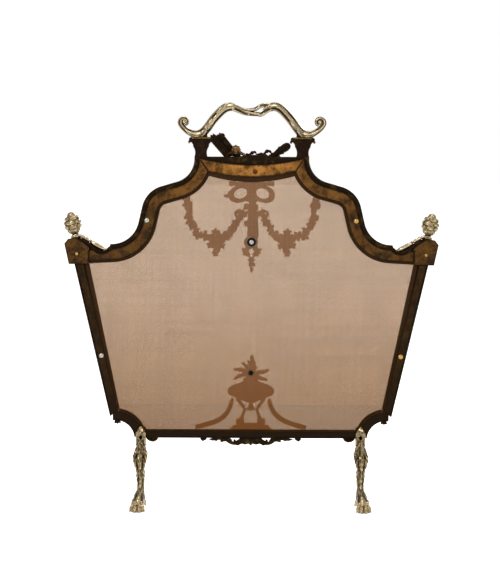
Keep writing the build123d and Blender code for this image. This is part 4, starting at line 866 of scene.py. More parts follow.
class FIRESCREEN_OT_handle(Operator):
    """Cast the carrying handle: two acanthus branches that cross at its middle"""
    bl_idname = "firescreen.handle"
    bl_label = "Handle"

    def execute(self, context):
        radius = context.scene.fire_screen_sizes.handle_radius / MM
        depth = HANDLE_DEPTH
        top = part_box("handle")[1].z / MM
        bm = bmesh.new()
        arm = [(30, -10.0), (40, -8.4), (50, -11.5), (60, -20.5), (71, -33.0), (79, -44.5),
               (87, -53.5), (97, -58.0), (107, -57.6), (116, -53.6), (124, -47.0), (129.6, -39.5),
               (128.5, -32.3), (122.5, -30.0), (117.6, -33.5), (117.8, -39.0), (121.6, -41.2)]
        # A sheath leaf up each slope, one over the hump and a cuff above the saddle: its line,
        # its height over the handle's middle plane, breadth, thickness, lobes and their depth.
        leaves = (([(90, -55), (79, -44), (70, -31.5), (58, -18)],
                   radius * 0.75, 11.5, 4.4, 3, 0.2),
                  ([(66, -22.5), (54, -12), (42, -6.5), (28, -9), (17, -15)],
                   radius * 0.75, 10.0, 4.0, 4, 0.3),
                  ([(80, -46), (91, -57.5), (107, -58.5), (122, -49.5)], 8.2, 12.0, 7.0, 3, 0.2))
        for side in (1, -1):
            rod(bm, flat_line(arm, depth, side, 8, top),
                [(0, radius * 0.9), (0.12, radius * 1.02), (0.35, radius), (0.46, radius * 0.82),
                 (0.6, radius * 0.64), (0.8, radius * 0.52), (1, radius * 0.4)],
                sides=28, cap=0.02, ripple=0.05, waves=5, twist=4)
            ball(bm, Vector((side * 122.8, depth, top - 36.2)), (4.2, 5.4, 4.2))
            for face in (FRONT, BACK):
                for route, over, *form in leaves:
                    leaf(bm, flat_line(route, depth + face.y * over, side, level=top), *form, face)
        # The two strands that part and cross between the humps.
        upper = [(38, -8.5), (28, -9.5), (17, -13.5), (5, -14.5), (-6, -13.0), (-14, -8.5),
                 (-24, -5.2), (-36, -7.0)]
        lower = [(38, -11.0), (26, -15.0), (14, -19.2), (2, -20.8), (-9, -21.6), (-17, -22.6),
                 (-25, -17.5), (-32, -12.5), (-40, -11.0)]
        for route, thick in ((upper, 3.4), (lower, 3.9)):
            stations = [(0, 1.2), (0.2, 1.1), (0.5, 1), (0.8, 1.1), (1, 1.3)]
            rod(bm, flat_line(route, depth, 1, 8, top),
                [(share, thick * part) for share, part in stations],
                sides=20, flat=1.25, ripple=0.12, twist=9)
        for x, drop, size in ((-17, 22.6, 4.4), (6, 21.4, 4.3), (14, 13.0, 3.9), (-13, 8.0, 4.2),
                              (22, 18.0, 4.2), (-2, 14.6, 3.4)):
            ball(bm, Vector((x, depth, top - drop)), (size, size * 1.15, size * 0.72))
        piece(bm, "acanthus_handle", "burnished_brass", "polished_gilt", "handle")
        return {"FINISHED"}


class FIRESCREEN_OT_trophy(Operator):
    """Lay the quiver, arrow sheath, torch, rosette and ribbon on the crest"""
    bl_idname = "firescreen.trophy"
    bl_label = "Trophy"

    def execute(self, context):
        depth = HANDLE_DEPTH
        foot = CREST_TOP
        lean = radians(41)
        axis = Vector((sin(lean), 0, cos(lean)))
        across = axis.cross(FRONT)
        start = Vector((22.5, depth, foot - 4))
        bm = bmesh.new()
        turned(bm, start, axis,
               [(0, 0), (0, 5.4), (20, 5.8), (21, 7.0), (23, 7.0), (24, 6.0), (48, 6.8), (49, 8.2),
                (51, 8.6), (53, 8.4), (55, 7.6), (57, 5.0), (58, 0)], sides=40, flutes=10, cut=0.22)
        for index in range(5):
            angle = 2 * pi * index / 5
            spot = start + axis * 56 + (across * cos(angle) + FRONT * sin(angle)) * 3.6
            turned(bm, spot, axis,
                   [(-2, 0), (-2, 0.9), (0, 0.9), (0.6, 1.9), (2.4, 1.6), (4.0, 0)], sides=8)
        piece(bm, "quiver_of_arrows", "old_gilt_brass", "polished_gilt", "quiver")
        start = Vector((37.5, depth, foot - 4))
        bm = bmesh.new()
        for shift in (-4.8, 0.0, 4.8):
            line = [start + axis * (7.2 * step) + across * shift + BACK * 3.0 for step in range(9)]
            rod(bm, line, [(0, 2.6), (0.85, 2.9), (1, 2.4)], flat=1.2, cap=0.08)
        rod(bm, [start + axis * (7.2 * step) for step in range(9)],
            [(0, 6.6), (1, 6.8)], flat=0.6, sides=20)
        piece(bm, "arrow_sheath", "old_gilt_brass", "polished_gilt", "sheath")
        bm = bmesh.new()
        axis = Vector((-sin(radians(56)), 0, cos(radians(56))))
        turned(bm, Vector((-31, depth, foot - 3)), axis,
               [(0, 0), (0, 3.0), (6, 3.6), (7, 4.8), (9, 4.8), (10, 4.0), (24, 6.8), (25, 8.2),
                (27, 8.2), (28, 7.0), (36, 7.6), (42, 6.4), (45.5, 3.2), (46, 0)],
               sides=40, flutes=8, cut=0.3)
        piece(bm, "fluted_torch", "old_gilt_brass", "polished_gilt", "torch")
        bm = bmesh.new()
        middle = Vector((29.0, 2.6, foot + 12.5))
        turned(bm, middle, FRONT,
               [(0, 0), (0, 5.4), (1.4, 7.8), (3.2, 9.2), (6, 8.6), (8, 6.4), (12, 5.0), (14, 0)],
               sides=32, flutes=8, cut=0.14)
        ball(bm, middle, (5.2, 3.4, 5.2), segments=14)
        for tip, rise in (((9, 1.5), 6.0), ((48, 1.0), 6.5), ((17, 2.0), 9.0), ((40, 2.0), 9.0)):
            leaf(bm, flat_line([(29, rise + 2), ((29 + tip[0]) / 2, rise), tip], -2.0, level=foot),
                 8.0, 7.0, 3, face=BACK)
        piece(bm, "trophy_boss", "rubbed_cast_brass", "polished_gilt", "trophy_rosette")
        bm = bmesh.new()
        for route, breadth in (([(8, 1), (1, 6), (-5, 8.5), (-9, 4)], 7.0),
                               ([(-6, 2), (-15, 5), (-24, 3), (-32, 1)], 6.0),
                               ([(-20, 2), (-26, 9), (-32, 10), (-37, 4)], 7.5),
                               ([(-30, 1), (-40, 5), (-52, 1)], 6.5),
                               ([(14, 1), (8, 4), (0, 1)], 6.0)):
            leaf(bm, flat_line(route, depth, level=foot), breadth, 7.0, 3, 0.35)
        rod(bm, flat_line([(24, -1), (0, 0.5), (-24, 0), (-56, -1)], depth, level=foot),
            [(0, 2.0), (0.5, 3.0), (1, 2.0)], flat=1.8, cap=0.1)
        piece(bm, "crest_ribbon", "old_gilt_brass", "polished_gilt", "ribbon_knot")
        return {"FINISHED"}


class FIRESCREEN_OT_pedestal_trim(Operator):
    """Add the bead under each pedestal's cap and its rubbed upper edge, lighter as a painted
    highlight
    """
    bl_idname = "firescreen.pedestal_trim"
    bl_label = "Pedestal trim"

    def execute(self, context):
        for name, side in SIDES:
            low, high = [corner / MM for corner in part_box(f"pedestal_{name}")]
            bm = bmesh.new()
            edge = [(low.x + 3, -1.6), ((low.x + high.x) / 2, -1.2), (high.x - 3, -1.6)]
            # Rubbed brass along the cap's edges, against the near-black back: partly wear, partly
            # painted highlight.
            for depth in (low.y + 0.6, high.y - 0.4):
                rod(bm, flat_line(edge, depth, level=CAP_TOP), [(0, 1.7), (1, 1.7)], cap=0.03)
            for x in (low.x + 0.6, high.x - 0.6):
                ball(bm, Vector((x, (low.y + high.y) / 2, CAP_TOP - 8.5)), (2.6, 8.0, 3.0))
            piece(bm, f"cap_bead_{name}", "rubbed_cast_brass", "polished_gilt")
        return {"FINISHED"}


# ---- ornament on the gauze ----------------------------------------------------------------------


SIGHT_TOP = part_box("front_crest")[0].z / MM    # lowest point of the crest's sight edge
RAIL_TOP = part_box("front_bottom")[1].z / MM
RELIEF_DEPTH = GAUZE_FACE - 1.6                # middle line of the castings that lie on the gauze
RIBBON_THICKNESS = 2.6


def casting(bm, name, node, sharp=1.2):
    """Finish a casting whose back is filed flat against the gauze."""
    piece(bm, name, "cast_brass_dark_back", "ornament_gilt", node, flat_back=GAUZE_FACE,
          sharp=sharp)


def spray(bm, x, z, heading, length, breadth, count=1, spread=0.9):
    """A fan of round-tipped leaves from one point, in the plane of the gauze."""
    for index in range(count):
        angle = heading + spread * (index / (count - 1) - 0.5 if count > 1 else 0)
        reach = length * (1 - 0.12 * abs(index - (count - 1) / 2))
        tip = (x + reach * cos(angle), z + reach * sin(angle))
        bend = (x + reach * 0.5 * cos(angle) - breadth * 0.12 * sin(angle),
                z + reach * 0.5 * sin(angle) + breadth * 0.12 * cos(angle))
        leaf(bm, flat_line([(x, z), bend, tip], RELIEF_DEPTH, per_span=7), breadth, 3.4, 2, 0.22,
             sides=14, fullness=0.42)


def ellipse_line(x, z, wide, high, tilt, parts=28):
    """A closed oval in the plane of the gauze."""
    points = []
    for index in range(parts + 1):
        angle = 2 * pi * (index % parts) / parts
        a, b = wide * cos(angle), high * sin(angle)
        points.append(Vector((x + a * cos(tilt) - b * sin(tilt), RELIEF_DEPTH,
                              z + a * sin(tilt) + b * cos(tilt))))
    return points


def ribbon(bm, line, breadth):
    """A folded ribbon: flat, with raised edges and dirt and painted shade along its middle."""
    def section(share, turn):
        half = breadth / 2 * (1 + 0.2 * cos(4 * pi * share))
        out = cos(turn)
        edge = 0.35 * abs(out) ** 3 if sin(turn) > 0 else 0.0
        rise = RIBBON_THICKNESS * (0.5 * sin(turn) + edge)
        return half * out, rise, 0.6 if abs(out) < 0.3 else 0.0
    skin(bm, line, section, 16)


class FIRESCREEN_OT_bow(Operator):
    """Tie the ribbon bow under the crest"""
    bl_idname = "firescreen.bow"
    bl_label = "Ribbon bow"

    def execute(self, context):
        top = SIGHT_TOP
        bm = bmesh.new()
        for side in (1, -1):
            ribbon(bm, ellipse_line(side * 20.0, top - 20.5, 17.5, 12.4, side * -0.36), 9.0)
            rod(bm, flat_line([(2, -8), (4.5, -20), (4.5, -34)], RELIEF_DEPTH, side, level=top),
                [(0, 4.4), (0.5, 3.8), (1, 4.0)], flat=0.5, cap=0.08)
        ribbon(bm, flat_line([(39, -18), (44, -25), (50, -24)], RELIEF_DEPTH, level=top), 6.0)
        ribbon(bm, flat_line([(-41, -2.5), (0, -3.5), (41, -2.5)], RELIEF_DEPTH, level=top), 8.0)
        ball(bm, Vector((0, GAUZE_FACE - 2.2, top - 14)), (6.5, 4.0, 10.0), segments=16)
        casting(bm, "bow_casting", "ribbon_bow")
        return {"FINISHED"}


class FIRESCREEN_OT_drop(Operator):
    """Hang the centre drop of leaves and flowers from the bow"""
    bl_idname = "firescreen.drop"
    bl_label = "Centre drop"

    def execute(self, context):
        top = SIGHT_TOP
        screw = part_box("gauze_washers")[1].z / MM - 11.7
        bm = bmesh.new()
        stem = [(0, -24), (-1.5, -60), (-1.5, -94), (0, screw - top)]
        rod(bm, flat_line(stem, RELIEF_DEPTH, level=top),
            [(0, 5.0), (0.3, 8.5), (0.7, 10.0), (0.85, 8.5), (1, 6.0)],
            flat=0.42, cap=0.05, sides=18, ripple=0.14, waves=5)
        for x, drop, heading, length, breadth, count in (
                (0, 30, -0.4, 12, 9, 1), (0, 30, pi + 0.4, 12, 9, 1), (5, 46, 0.1, 11, 9, 2),
                (-4, 45, pi - 0.1, 9, 8, 2), (8, 58, -0.2, 12, 9, 2), (-6, 58, pi + 0.2, 10, 9, 2),
                (6, 74, -0.5, 9, 8, 2), (-5, 74, pi + 0.5, 8, 8, 2)):
            spray(bm, x, top - drop, heading, length, breadth, count, spread=0.8)
        for x, drop, size, petals, rise in ((0, 54, 9.5, 6, 5.0), (1.0, 70, 8.0, 5, 4.5),
                                            (-0.5, 84, 7.0, 6, 4.0)):
            flower(bm, x, top - drop, size, petals, rise=rise)
        turned(bm, (2.0, GAUZE_FACE + 1.0, screw), FRONT,
               [(0, 0), (0, 12.2), (2.2, 12.0), (3.4, 10.4), (3.6, 8.6), (2.8, 7.8), (4.6, 6.4),
                (5.4, 0)], sides=32, flutes=16, cut=0.06)
        # Below the boss two curls close round a small hole, over a last leaf.
        for side in (1, -1):
            curl = [(4, -8), (9, -14), (8, -21), (2, -23.5)]
            rod(bm, flat_line(curl, RELIEF_DEPTH, side, level=screw),
                [(0, 5.0), (0.5, 4.6), (1, 4.0)], flat=0.5, cap=0.08)
            flower(bm, side * 10.5, screw - 19, 6.8, petals=5, rise=4.0, start=side * 0.5)
            spray(bm, side * 12, screw - 15, pi / 2 - side * 1.1, 7, 6)
        flower(bm, 0, screw - 32, 7.0, petals=6, rise=4.0)
        spray(bm, 0, screw - 34, -pi / 2 - 0.25, 13, 8, count=2, spread=0.7)
        spray(bm, -1, screw - 44, -pi / 2, 11, 7)
        casting(bm, "drop_casting", "centre_drop")
        return {"FINISHED"}


# A festoon from its hanging point to the centre stem: x, drop below the sight edge, flower radius,
# length of its leaves and how many.
FESTOON = [(118.0, 22, 5.5, 0, 0), (117.0, 32, 5.5, 9, 1), (115.5, 42, 8.0, 10, 2),
           (112.0, 53, 5.0, 0, 0), (114.0, 63, 7.5, 9, 2), (110.5, 72, 6.5, 10, 1),
           (106.0, 79, 7.0, 9, 2), (100.0, 88, 6.0, 10, 1), (96.0, 96, 8.0, 9, 2),
           (84.0, 97, 8.0, 10, 1), (76.0, 101, 6.5, 9, 1), (64.0, 106, 10.0, 16, 5),
           (52.0, 101, 7.0, 10, 1), (45.0, 97, 8.0, 9, 2), (38.0, 92, 6.0, 9, 1),
           (34.0, 83, 7.0, 9, 1), (28.0, 74, 6.5, 9, 1), (23.0, 64, 7.0, 9, 1),
           (19.0, 55, 6.0, 8, 1)]
LOWEST_BLOOM = 11            # its place in that list


class FIRESCREEN_OT_festoons(Operator):
    """Drape the two flower festoons from the sight edge to the centre stem"""
    bl_idname = "firescreen.festoons"
    bl_label = "Festoons"

    def execute(self, context):
        top = SIGHT_TOP
        for name, side in SIDES:
            dice = Random(11 if side > 0 else 29)
            bm = bmesh.new()
            stem = flat_line([(x, -drop) for x, drop, *_ in FESTOON], RELIEF_DEPTH, side, 5, top)
            rod(bm, stem,
                [(0, 6.5), (0.12, 5.5), (0.2, 4.0), (1, 4.0)], flat=0.45, cap=0.02)
            for index, (x, drop, bloom, length, count) in enumerate(FESTOON):
                ahead = FESTOON[min(index + 1, len(FESTOON) - 1)]
                behind = FESTOON[max(index - 1, 0)]
                along = atan2(behind[1] - ahead[1], side * (ahead[0] - behind[0]))
                for turn in range(count):
                    lean = (2 * pi * turn / count if count > 2
                            else 1.4 * (1 if (turn + index) % 2 else -1) + dice.uniform(-0.4, 0.4))
                    spray(bm, side * x, top - drop, along + lean, length * dice.uniform(0.9, 1.15),
                          length * dice.uniform(0.6, 0.75))
                flower(bm, side * x, top - drop, bloom * dice.uniform(1.1, 1.3),
                       petals=dice.choice((4, 5, 5, 6)), rise=4.6, start=dice.random() * 2)
            ribbon(bm, ellipse_line(side * 22.5, top - 57.5, 6.4, 5.8, 0.3), 5.0)
            # A cluster of flowers hangs at the lowest point.
            x, drop = FESTOON[LOWEST_BLOOM][:2]
            for shift, step, reach in ((1, 15, 8.0), (-1, -13, 9.5), (1, -23, 7.0), (10, -8, 7.5),
                                       (-10, -9, 7.5), (9, 6, 7.0), (-9, 5, 7.0)):
                flower(bm, side * (x + shift), top - drop + step, reach, petals=5, rise=4.4,
                       start=0.3)
            casting(bm, f"festoon_casting_{name}", f"festoon_{name}")
        return {"FINISHED"}


class FIRESCREEN_OT_brazier(Operator):
    """Set the flaming brazier, its tripod and its two drapes over the bottom rail"""
    bl_idname = "firescreen.brazier"
    bl_label = "Brazier"

    def execute(self, context):
        foot = RAIL_TOP
        depth = RELIEF_DEPTH
        bm = bmesh.new()
        bowl = [(48, 0), (48, 4), (51, 12), (55, 22), (59, 31), (62, 38), (65, 41.3), (69, 42),
                (73, 41.5), (77, 38.5), (81, 32), (84, 23), (86.5, 16), (88, 13.5), (90, 13.8),
                (92, 14.5), (93, 12), (93, 0)]
        lathe = [Vector((0, GAUZE_FACE, foot + height)) for height, _ in bowl]

        def bowl_section(share, turn):
            height, radius = bowl[round(share * (len(bowl) - 1))]
            gadroon = 1 - 0.05 * (0.5 - 0.5 * cos(18 * turn)) if height < 70 else 1
            deep = min(radius, 12 + radius * 0.02) * 0.5
            # Dirt and painted shade in the hollows between the gadroons.
            return radius * gadroon * cos(turn), deep * gadroon * sin(turn), 12 * (1 - gadroon)
        skin(bm, lathe, bowl_section, 48)
        turned(bm, (0, depth, foot + 50), -UP,
               [(0, 5), (5, 3.2), (8, 4.6), (11, 5.0), (15, 3.4), (18, 0)], sides=14)
        rod(bm, flat_line([(-12, 36), (0, 38.5), (12, 36)], depth, level=foot),
            [(0, 1.8), (1, 1.8)], cap=0.05)
        for side in (1, -1):
            rod(bm, flat_line([(26, 57), (19, 49), (13.5, 41), (11.5, 34), (14.5, 26), (18, 18)],
                              depth, side, level=foot),
                [(0, 3.4), (0.3, 2.8), (0.6, 2.6), (1, 3.2)], flat=0.8, cap=0.05)
            leaf(bm, flat_line([(26, 57), (19, 49), (13, 38)], depth - 1, side, level=foot),
                 7.0, 3.0, 3)
            slab(bm, Vector((side * 19, GAUZE_FACE - 2.5, foot + 15.5)), (15, 5, 9))
        for width, high, rise in ((52, 6, 9.0), (66, 5, 5), (74, 3, 1.5)):
            slab(bm, Vector((0, GAUZE_FACE - 2.2, foot + rise)),
                 (width, 4.6 + (10 - rise) * 0.3, high))
        casting(bm, "brazier_casting", "brazier", sharp=0.7)
        bm = bmesh.new()
        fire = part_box("brazier_flames")[1].z / MM - 33
        for degrees, reach, breadth in ((11, 34, 10), (-21, 35, 10), (169, 36, 10), (202, 35, 10),
                                        (48, 26, 9), (128, 17, 8), (91, 34, 12), (76, 25, 9),
                                        (106, 24, 9), (-50, 14, 9), (230, 14, 9)):
            angle = radians(degrees)
            tongue = [(out * cos(angle + bend), out * sin(angle + bend))
                      for out, bend in ((4, 0), (reach * 0.55, 0.12), (reach, 0))]
            leaf(bm, flat_line(tongue, depth, level=fire), breadth, 4.4, 4, 0.42, fullness=0.5)
        ball(bm, Vector((0, GAUZE_FACE - 1.5, fire)), (9.5, 3.6, 9.5), segments=16)
        ball(bm, Vector((0, GAUZE_FACE - 1.0, fire - 11)), (11, 3.2, 7), segments=14)
        casting(bm, "flames_casting", "brazier_flames")
        for name, side in SIDES:
            bm = bmesh.new()
            fall = [(33, 58), (36, 44), (43, 30), (55, 19), (70, 12), (86, 7), (101, 3.5)]
            line = flat_line(fall, depth, side, level=foot)
            rod(bm, line, [(0, 2.4), (0.45, 4.4), (0.8, 4.2), (1, 3.2)],
                flat=0.7, cap=0.03, sides=18, ripple=0.1, waves=5, twist=14)
            for index in range(2, len(line) - 2, 2):
                ahead = (line[index + 1] - line[index - 1]).normalized()
                heading = atan2(ahead.z, ahead.x)
                for lean in (0.7, -0.7):
                    spray(bm, line[index].x, line[index].z, heading + lean, 6.4, 4.2)
            casting(bm, f"drape_casting_{name}", f"brazier_drape_{name}")
        return {"FINISHED"}


# ---- apron, buds and corner leaves --------------------------------------------------------------


RAIL_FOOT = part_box("front_bottom")[0].z / MM


class FIRESCREEN_OT_apron(Operator):
    """Hang the pierced leafy apron, the buds and the corner leaves under the rail"""
    bl_idname = "firescreen.apron"
    bl_label = "Apron and buds"

    def execute(self, context):
        foot = RAIL_FOOT
        depth = -4.5
        bm = bmesh.new()
        for side in (1, -1):
            for route, thick in (([(2, -6), (10, -9.5), (18, -7), (26, -10.5), (36, -9.5),
                                   (44, -4.5), (52, -1)], 3.0),
                                 ([(16, 1), (22, -4), (30, -7.5), (38, -5.5)], 2.0)):
                rod(bm, flat_line(route, depth, side, level=foot),
                    [(0, thick), (0.5, thick * 0.8), (1, thick * 0.7)], flat=1.2, cap=0.08)
            for route, breadth in (([(14, 1), (18, -7), (25, -13.5)], 8.0),
                                   ([(30, -2), (27, -9), (21, -13)], 7.0),
                                   ([(40, 1), (36, -6), (29, -12)], 8.0),
                                   ([(40, 1), (48, -4), (57, -6.5)], 8.0),
                                   ([(54, 1), (64, -3.0), (78, -2)], 7.0),
                                   ([(2, 1), (7, -7), (13, -12)], 8.0)):
                leaf(bm, flat_line(route, depth - 1, side, level=foot), breadth, 5.0, 3, 0.35)
            # A plain web behind the leaves, open only beside the outer scroll.
            for route, thick in (([(0, -2), (10, -3.5), (22, -5.0)], 6.0),
                                 ([(12, -5), (22, -8.5), (30, -8.5)], 4.2),
                                 ([(38, -1), (52, -1.5), (70, -0.5)], 3.2)):
                rod(bm, flat_line(route, depth + 1.0, side, level=foot),
                    [(0, thick), (1, thick * 0.7)], flat=0.5, cap=0.1)
            ball(bm, Vector((side * 23.5, depth, foot - 10.5)), (4.6, 4.0, 3.6))
        leaf(bm, flat_line([(0, 3), (0, -6), (0, -14)], depth - 1, level=foot), 15, 6.0, 3, 0.3)
        piece(bm, "apron_foliage", "cast_brass_dark_back", "ornament_gilt", "apron")
        for name, side in SIDES:
            bm = bmesh.new()
            for tip in ((-7.0, -2.5), (-3.5, -5.0), (0, -7.0), (3.5, -5.0)):
                leaf(bm, flat_line([(86.5, 1), (86.5 + tip[0] * 0.6, tip[1] * 0.5),
                                    (86.5 + tip[0], tip[1])], -6.5, side, level=foot), 7.5, 5, 2)
            # The curled leaf beside the leg's head.
            rod(bm, flat_line([(188, 1), (185, -3.0), (179, -5.2), (173, -4), (170, -1), (173, 1.5),
                               (177, 0), (176.5, -2.5)], -7.0, side, level=foot),
                [(0, 2.2), (0.4, 2.6), (0.8, 2.2), (1, 1.8)], flat=2.0, cap=0.06)
            ball(bm, Vector((side * 177, -7.0, foot - 1.6)), (5.4, 6.0, 3.4))
            ball(bm, Vector((side * 184, -7.0, foot - 0.2)), (4.0, 4.5, 3.0))
            for x, z in ((184, -2.5), (180.5, -5.2), (175.5, -6.0), (171, -3.4)):
                ball(bm, Vector((side * x, -7.0, foot + z)), (2.3, 6.5, 2.0))
            piece(bm, f"rail_foliage_{name}", "cast_brass_dark_back", "ornament_gilt",
                  f"rail_buds_{name}")
            low, high = [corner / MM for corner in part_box(f"corner_leaf_{name}")]
            bm = bmesh.new()
            inner, outer = (low.x, high.x) if side > 0 else (high.x, low.x)
            middle = (inner + outer) / 2
            for shift, drop in ((1, 0.5), (-6, 4.5), (7, 3.5)):
                tip_x = middle + side * shift
                leaf(bm, flat_line([(middle, high.z + 4), ((middle + tip_x) / 2, high.z - 3),
                                    (tip_x, low.z + drop)], -6.5), 7, 5, 3)
            piece(bm, f"corner_tip_{name}", "cast_brass_dark_back", "ornament_gilt",
                  f"corner_leaf_{name}")
        return {"FINISHED"}


# ---- legs ---------------------------------------------------------------------------------------


LEG_X = 199.0
LEG_SCREW_Z = RAIL_FOOT + 2.0
PAW_X = 5.0                  # sideways from the leg's own middle
# Stations down a leg: share of its length, height, way out to the paw, sideways, breadth, depth.
LEG_FORM = [(0.00, 136, 0.00, 0.0, 15.0, 7.0), (0.10, 122, 0.08, 0.0, 13.0, 8.0),
            (0.20, 110, 0.24, 0.5, 15.0, 12.0), (0.30, 97, 0.42, 1.0, 19.0, 16.5),
            (0.38, 88, 0.50, 1.2, 18.0, 16.0), (0.48, 77, 0.56, 1.0, 14.0, 13.0),
            (0.58, 65, 0.61, 0.3, 11.0, 11.5), (0.68, 53, 0.67, -0.5, 10.5, 11.0),
            (0.78, 40, 0.76, 0.0, 11.0, 12.0), (0.87, 29, 0.86, 1.5, 14.0, 15.0),
            (0.94, 19, 0.95, 3.5, 21.0, 22.0), (1.00, 7.0, 1.0, 4.5, 22.0, 24.0)]


class FIRESCREEN_OT_legs(Operator):
    """Cast the four acanthus legs with their lion's paws"""
    bl_idname = "firescreen.legs"
    bl_label = "Legs"

    def execute(self, context):
        for group, outward in (("rear", BACK), ("front", FRONT)):
            for name, side in SIDES:
                low, high = [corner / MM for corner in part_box(f"{group}_leg_{name}")]
                seat = min(abs(low.y), abs(high.y))
                claw = max(abs(low.y), abs(high.y)) - 16.5
                cast_leg(f"{group}_leg_{name}", side, outward, seat, claw)
        return {"FINISHED"}


def cast_leg(node, side, outward, seat, claw):
    """One leg: a tapering body under its leaves, and a paw with four toes."""
    def place(x, out, z):
        return Vector((side * (LEG_X + x), outward.y * (seat + out), z))

    def station(share, column):
        return between(share, [(row[0], row[column]) for row in LEG_FORM])

    rows = 48
    reach = claw - seat
    line = [place(station(row / rows, 3), 4 + (reach - 4) * station(row / rows, 2),
                  station(row / rows, 1)) for row in range(rows + 1)]

    def body(share, turn):
        wide, deep = station(share, 4) / 2, station(share, 5) / 2
        ridge = exp(-((turn - pi / 2) / 0.3) ** 2)
        cheeks = cos(4 * (turn - pi / 2))
        notch = sin(12 * pi * share) * (1 - ridge)
        shape = (1 + 0.10 * ridge + 0.07 * cheeks + 0.05 * notch) * blunt(share, 0.03)
        # Dirt and painted shade in the hollows between the cheeks, least on the ridge.
        dirt_and_shade = 0.45 - 0.3 * ridge - 0.45 * cheeks
        return wide * shape * cos(turn), deep * shape * sin(turn), dirt_and_shade
    bm = bmesh.new()
    skin(bm, line, body, 28, outward)
    # The flat head that is screwed to the frame, with a pointed leaf above it.
    head = set(slab(bm, place(0, 2.6, LEG_SCREW_Z - 2), (18.0, 5.2, 22.0)))
    edges = [edge for edge in bm.edges if head.issuperset(edge.verts)]
    bmesh.ops.bevel(bm, geom=edges, offset=1.6, segments=3, profile=0.5, affect="EDGES",
                    material=-1)
    # The rim round its screw, dark all over: painted shade in the screw's hole.
    turned(bm, place(0, 6.0, LEG_SCREW_Z), outward,
           [(0, 0), (0, 5.4), (4.4, 5.4), (5.2, 4.6), (5.2, 3.6), (3.8, 3.2), (3.8, 0)], grime_and_shade=1.0)

    def leaf_on(points, breadth, thickness, lobes=4, depth=0.3):
        leaf(bm, smooth_line([place(*point) for point in points]), breadth, thickness, lobes, depth,
             outward)
    leaf_on([(0, 3.2, LEG_SCREW_Z - 2), (0, 3.6, LEG_SCREW_Z + 10), (0, 2.4, LEG_SCREW_Z + 20)],
            15, 4.5, 2, 0.2)

    def over(share, lift, sideways=0.0):
        """A point of the leg's outer face, lifted from it."""
        deep, wide = station(share, 5) / 2, station(share, 4) / 2
        round_off = sqrt(max(0.05, 1 - sideways ** 2))
        return (station(share, 3) + sideways * wide, 4 + (reach - 4) * station(share, 2)
                + deep * 0.85 * round_off + lift, station(share, 1))
    # The large leaf runs down from the screw, swells over the knee and curls out under it.
    leaf_on([over(0.04, 0.5), over(0.14, 0.6), over(0.24, 1.0), over(0.33, 2.2), over(0.41, 3.4)],
            14, 6.0, 4)
    # Smaller leaves on both flanks: points as share down the leg, lift and way round it.
    flanks = (([(0.12, 0, 0.35), (0.22, 0.4, 0.75), (0.32, 0.8, 1.0), (0.42, 1.5, 1.05)],
               10, 5.0, 4),
              ([(0.30, 0, 0.5), (0.40, 0.6, 0.85), (0.50, 0.5, 0.8)], 8, 4.0, 3),
              ([(0.50, 0, 0.5), (0.60, 0.6, 0.8), (0.71, 0.8, 0.9)], 6.5, 4.0, 3),
              ([(0.86, 0.2, 0.3), (0.78, 0.8, 0.5), (0.72, 1.2, 0.6)], 5, 4.0, 3))
    for lean in (-1, 1):
        for route, *form in flanks:
            leaf_on([over(share, lift, round_by * lean) for share, lift, round_by in route], *form)
    leaf_on([over(0.44, 0), over(0.54, 0.8), over(0.66, 0.8), over(0.74, 0.2)], 8.5, 4.5, 4)
    leaf_on([over(0.90, 0.4), over(0.82, 1.4), over(0.74, 2.0)], 9, 4.5, 3)
    # Lion's paw: four toes with knuckles, and claws that curve to the floor.
    for degrees, toe in ((-48, 9.5), (-16, 11.0), (16, 11.0), (48, 9.5)):
        aim = radians(degrees)

        def on_toe(out, height):
            """A point of this toe's middle plane, by its way out from the paw's middle."""
            return place(PAW_X + out * sin(aim), reach + out * cos(aim), height)
        turn = Matrix.Rotation(-aim * side * outward.y, 4, "Z")
        ball(bm, on_toe(toe, 8.4), (4.9, 8.2, 7.6), turn, 14)
        ball(bm, on_toe(toe - 3.0, 16.5), (4.5, 6.0, 5.4), turn, 12)
        claw_line = smooth_line([on_toe(toe + step, height) for step, height in
                                 ((3.5, 8.0), (6.5, 6.6), (7.8, 3.6), (7.2, 1.0))])
        rod(bm, claw_line, [(0, 2.2), (0.5, 1.8), (1, 0.7)], sides=10, cap=0.12)
    ball(bm, place(PAW_X, reach - 3, 5.6), (11.5, 10.5, 5.6), segments=16)
    for vert in bm.verts:
        vert.co.z = max(vert.co.z, 0.0)
    piece(bm, f"{node}_casting", "chased_brass", "leg_gilt", node)


# ---- screws -------------------------------------------------------------------------------------


def screw_heads(name, kind, node, boxes, radius, rise, slot_angle, proud=-2.0):
    """Domed heads with a sawn slot, each standing this proud of its screw's end.

    Only the screws of the front legs look forward.
    """
    bm = bmesh.new()
    dome = [(-0.5, 0), (-0.5, radius), (rise * 0.35, radius), (rise * 0.7, radius * 0.8),
            (rise * 0.93, radius * 0.45), (rise, 0.0)]
    for low, high in boxes:
        middle = (low + high) / 2
        forward = node == "leg_screws" and middle.y <= 0
        outward, end = (FRONT, low.y) if forward else (BACK, high.y)
        spot = Vector((middle.x, end + outward.y * proud, middle.z))
        turned(bm, spot, outward, dome, sides=28)
        slab(bm, spot + outward * rise * 0.95, (radius * 1.7, rise * 0.35, 0.9),
             Matrix.Rotation(slot_angle, 4, "Y"))
    piece(bm, name, kind, "screw_metal", node, sharp=0.8)


